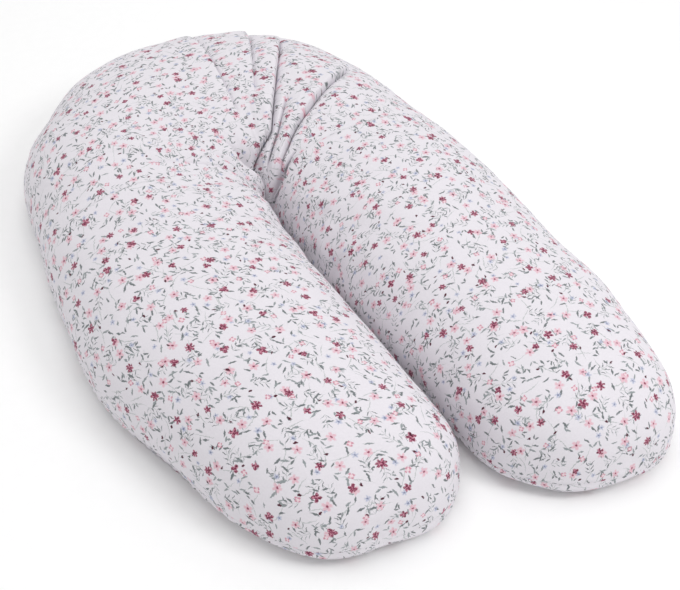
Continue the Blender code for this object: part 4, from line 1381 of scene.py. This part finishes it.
def zip_coil(name, way):
    """The wound wire of one side: a flattened helix bent round the back."""
    first, last = turn_span(f"zip_coil_{name}")
    low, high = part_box(f"zip_coil_{name}")
    reach = (NEAREST, max(abs(low.z - SEAM_HEIGHT), abs(high.z - SEAM_HEIGHT)))
    middle = SEAM_HEIGHT + way * sum(reach) / 2
    tall, deep = (reach[1] - reach[0]) / 2 - WIRE[0], 0.0007 - WIRE[0]
    turns = int((last - first) * BACK_RADIUS / COIL_PITCH)
    phase = np.linspace(0.0, turns, turns * TURN_POINTS + 1)
    spot = first + (last - first) * phase / turns
    swing = 2 * math.pi * phase
    depth = deep * np.sign(np.sin(swing)) * np.abs(np.sin(swing)) ** 0.6
    height = way * tall * np.sign(np.cos(swing)) * np.abs(np.cos(swing)) ** 0.6
    path = on_back(BACK_RADIUS + 0.0007 + depth, spot, 0.0)
    path[:, 2] = middle + height
    forward = np.gradient(path, axis=0)
    forward /= np.linalg.norm(forward, axis=1, keepdims=True)
    flow = np.stack([-np.sin(spot), np.cos(spot), np.zeros_like(spot)], axis=1)
    aside = np.cross(forward, flow)
    aside /= np.linalg.norm(aside, axis=1, keepdims=True)
    flow = np.cross(aside, forward)
    angles = np.linspace(0, 2 * math.pi, WIRE_SIDES, endpoint=False)
    rings = [path + aside * WIRE[0] * math.cos(a) + flow * WIRE[1] * math.sin(a) for a in angles]
    piece = swept(f"zip_coil_{name}_wound", np.stack(rings, axis=1), NYLON)
    return ride_bend(piece, "zip_coil", f"zip_coil_{name}")


for name, way in (("upper", 1), ("lower", -1)):
    zip_tape(name, way)
    coil = zip_coil(name, way)
    print(coil.name, len(coil.data.polygons), "faces")

# %% [markdown]
# ## Slider, pull and stops
# These are small castings, and the engineering solids already have their shape. A narrow bevel rounds
# their edges as tumbling does after casting, and light then catches on each edge. The plated metal
# has rubbed spots that change its gloss.

# %% Metal pieces
CASTINGS = {  # each with the width of its rounded edges
    "zip_slider_body": 0.00018,
    "zip_pull_tab": 0.00030,
    "zip_top_stop_upper": 0.00018,
    "zip_top_stop_lower": 0.00018,
    "zip_bottom_stop": 0.00018,
}
for name, rounding in CASTINGS.items():
    node = frame["nodes"][name]
    node.data.materials.clear()
    node.data.materials.append(METAL)
    bevel = node.modifiers.new("tumbled_edges", "BEVEL")
    bevel.width = rounding
    bevel.segments = 3
    bevel.limit_method = "ANGLE"
    bevel.angle_limit = math.radians(50)
    bevel.harden_normals = True
print(len(CASTINGS), "metal pieces bevelled")

# %% [markdown]
# ## Stitches beside the zip
# The cover's edges are turned in and sewn down to the tape with a row of stitches on each side. Every
# stitch is a short plump thread that dives into the cloth at both ends. They are placed on the panel's
# own points, so they follow its puckers.

# %% Stitches
STITCH_LENGTH, STITCH_GAP, STITCH_RADIUS = 0.0027, 0.0009, 0.00030
STITCH_SIDES, STITCH_STEPS = 6, 5


def stitch_row(name, grid, facing, column, span):
    """Stitches along one column of a panel, between two turns of the back's round."""
    line, out = grid[FIRST_FAN : LAST_FAN + 1, column], facing[FIRST_FAN : LAST_FAN + 1, column]
    turns = np.arctan2(line[:, 1] - BACK_CENTRE_Y, line[:, 0] - CROTCH_X)
    keep = (turns > span[0]) & (turns < span[1])
    line, out = line[keep], out[keep]
    along = length_along(line)
    points, faces, corners = [], [], []
    for start in np.arange(0.002, along[-1] - 0.005, STITCH_LENGTH + STITCH_GAP):
        spots = np.linspace(start, start + STITCH_LENGTH, STITCH_STEPS)
        path = np.stack([np.interp(spots, along, line[:, k]) for k in range(3)], axis=1)
        lift = np.stack([np.interp(spots, along, out[:, k]) for k in range(3)], axis=1)
        arch = np.sin(np.linspace(0, math.pi, STITCH_STEPS))
        path = path + lift * (STITCH_RADIUS * 1.1 * arch - STITCH_RADIUS * 0.4)[:, None]
        flow = path[-1] - path[0]
        flow /= np.linalg.norm(flow)
        base = len(points)
        for i in range(STITCH_STEPS):
            wide = STITCH_RADIUS * (0.45 + 0.55 * arch[i])
            side = np.cross(flow, lift[i])
            for a in np.linspace(0, 2 * math.pi, STITCH_SIDES, endpoint=False):
                points.append(path[i] + wide * (math.cos(a) * lift[i] + math.sin(a) * side))
        for i in range(STITCH_STEPS - 1):
            for j in range(STITCH_SIDES):
                k = (j + 1) % STITCH_SIDES
                one, two = base + i * STITCH_SIDES, base + (i + 1) * STITCH_SIDES
                faces.append([one + k, one + j, two + j, two + k])
                corners.extend([(i * 0.0006, n * 0.0003) for n in (k, j, j, k)])
        last = base + (STITCH_STEPS - 1) * STITCH_SIDES
        for ring in ([base + j for j in range(STITCH_SIDES)], [last + j for j in range(STITCH_SIDES)][::-1]):
            faces.append(ring)
            corners.extend([(0.0, 0.0)] * STITCH_SIDES)
    piece = finish_mesh(name, points, faces, corners, THREAD)
    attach(piece, "bend")
    return piece


zip_span = turn_span("zip_tape_upper")
stitch_row("zip_topstitch_upper", cover_top, facing_now["top"], -4, zip_span)
stitch_row("zip_topstitch_lower", cover_foot, facing_now["bottom"], 3, zip_span)

# %% [markdown]
# ## The care label
# A washable cover carries a care label, sewn into the seam beside the zip. It is a strip of satin
# folded in two, so its lower end is a soft round fold, and it never hangs quite flat. It stays blank.

# %% Label
LABEL_STEPS = 22
LABEL_OUT = 0.0013  # the front leaf's distance from the seam
FOLD_RADIUS = 0.00045
LABEL_HALF_THICK = 0.00009
LABEL_CURL = 0.0012


def care_label():
    """A folded strip: down in front, round the fold and up behind."""
    first, last = turn_span("care_label")
    low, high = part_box("care_label")
    drop = high.z - low.z
    turn = np.linspace(0, math.pi, 9)
    fold, out = FOLD_RADIUS, LABEL_OUT
    front = [(out, -h) for h in np.linspace(0.0, drop - fold, 9)]
    round_fold = [
        (out - fold + fold * math.cos(a), -(drop - fold) - fold * math.sin(a)) for a in turn[1:-1]
    ]
    back = [(out - 2 * fold, -h) for h in np.linspace(drop - fold, 0.0, 9)]
    line = np.array(front + round_fold + back)
    along = np.gradient(line, axis=0)
    normal = np.stack([-along[:, 1], along[:, 0]], axis=1)
    normal /= np.linalg.norm(normal, axis=1, keepdims=True)
    thick = normal * LABEL_HALF_THICK
    loop = np.concatenate([line + thick, (line - thick)[::-1]])
    rings = []
    for n, angle in enumerate(np.linspace(first, last, LABEL_STEPS)):
        share = n / (LABEL_STEPS - 1)
        curl = LABEL_CURL * math.sin(share * math.pi * 1.3 + 0.4)
        base = BACK_RADIUS + 0.0001
        rings.append([on_back(base + r + curl * (-h / drop) ** 2, angle, high.z + h) for r, h in loop])
    piece = swept("care_label_satin", rings, SATIN)
    return ride_bend(piece, "satin_label", "care_label")


care_label()
print("label made")

# %% [markdown]
# ## Floor, light and camera
# A plain pale floor, three softboxes (overhead, in front on the right, and behind) and a pale sky all
# round keep the shadows gentle: the pillow's own curve and its pleats should do the drawing. The camera
# looks down from the front left.

# %% Floor and lights
LOOK_AT = Vector((0.005, -0.127, 0.060))
CAMERA_TURN, CAMERA_RISE, CAMERA_AWAY = math.radians(-27.13), math.radians(40.79), 1.537
LENS = 68.48


FLOOR_REACH, FLOOR_DROP = 6.0, 0.0005


def floor():
    made, tree, shader = new_material("studio_floor", 0.7, Specular_IOR_Level=0.2)
    place = add(tree, "TexCoord").outputs["Object"]
    grain = add(tree, "TexNoise", {"Vector": place, "Scale": 60.0, "Detail": 3.0})
    feed(tree, shader.inputs["Base Color"],
         stain(tree, to_linear(250, 250, 250), to_linear(253, 253, 253), grain.outputs["Fac"]))
    data = bpy.data.meshes.new("studio_floor")
    reach = FLOOR_REACH
    corners = [(-reach, -reach, 0), (reach, -reach, 0), (reach, reach, 0), (-reach, reach, 0)]
    data.from_pydata(corners, [], [(0, 1, 2, 3)])
    data.materials.append(made)
    ground = bpy.data.objects.new("studio_floor", data)
    ground.location.z = -FLOOR_DROP
    bpy.context.scene.collection.objects.link(ground)


def softbox(name, place, size, power, aim=(0.0, 0.0, 0.05)):
    lamp = bpy.data.lights.new(name, "AREA")
    lamp.shape, lamp.size, lamp.energy = "DISK", size, power
    stand = bpy.data.objects.new(name, lamp)
    stand.location = place
    stand.rotation_euler = (Vector(aim) - Vector(place)).to_track_quat("-Z", "Y").to_euler()
    bpy.context.scene.collection.objects.link(stand)


floor()
softbox("softbox_overhead", (-0.1, -0.1, 2.4), 1.8, 12)
softbox("softbox_key", (1.1, -1.5, 1.9), 0.9, 16)
softbox("softbox_back", (0.5, 1.8, 1.7), 1.4, 6)
bpy.context.scene.view_settings.view_transform = "Standard"  # whites stay white
sky = bpy.data.worlds.new("pale_studio")
sky.use_nodes = True
sky.node_tree.nodes["Background"].inputs["Color"].default_value = (1.0, 1.0, 1.0, 1.0)
sky.node_tree.nodes["Background"].inputs["Strength"].default_value = 0.68
bpy.context.scene.world = sky

# %% Camera
away = Vector((math.sin(CAMERA_TURN) * math.cos(CAMERA_RISE), -math.cos(CAMERA_TURN) * math.cos(CAMERA_RISE),
               math.sin(CAMERA_RISE)))
lens = bpy.data.cameras.new("camera")
lens.lens = LENS
camera = bpy.data.objects.new("camera", lens)
camera.location = LOOK_AT + away * CAMERA_AWAY
camera.rotation_euler = (-away).to_track_quat("-Z", "Y").to_euler()
bpy.context.scene.collection.objects.link(camera)
bpy.context.scene.camera = camera
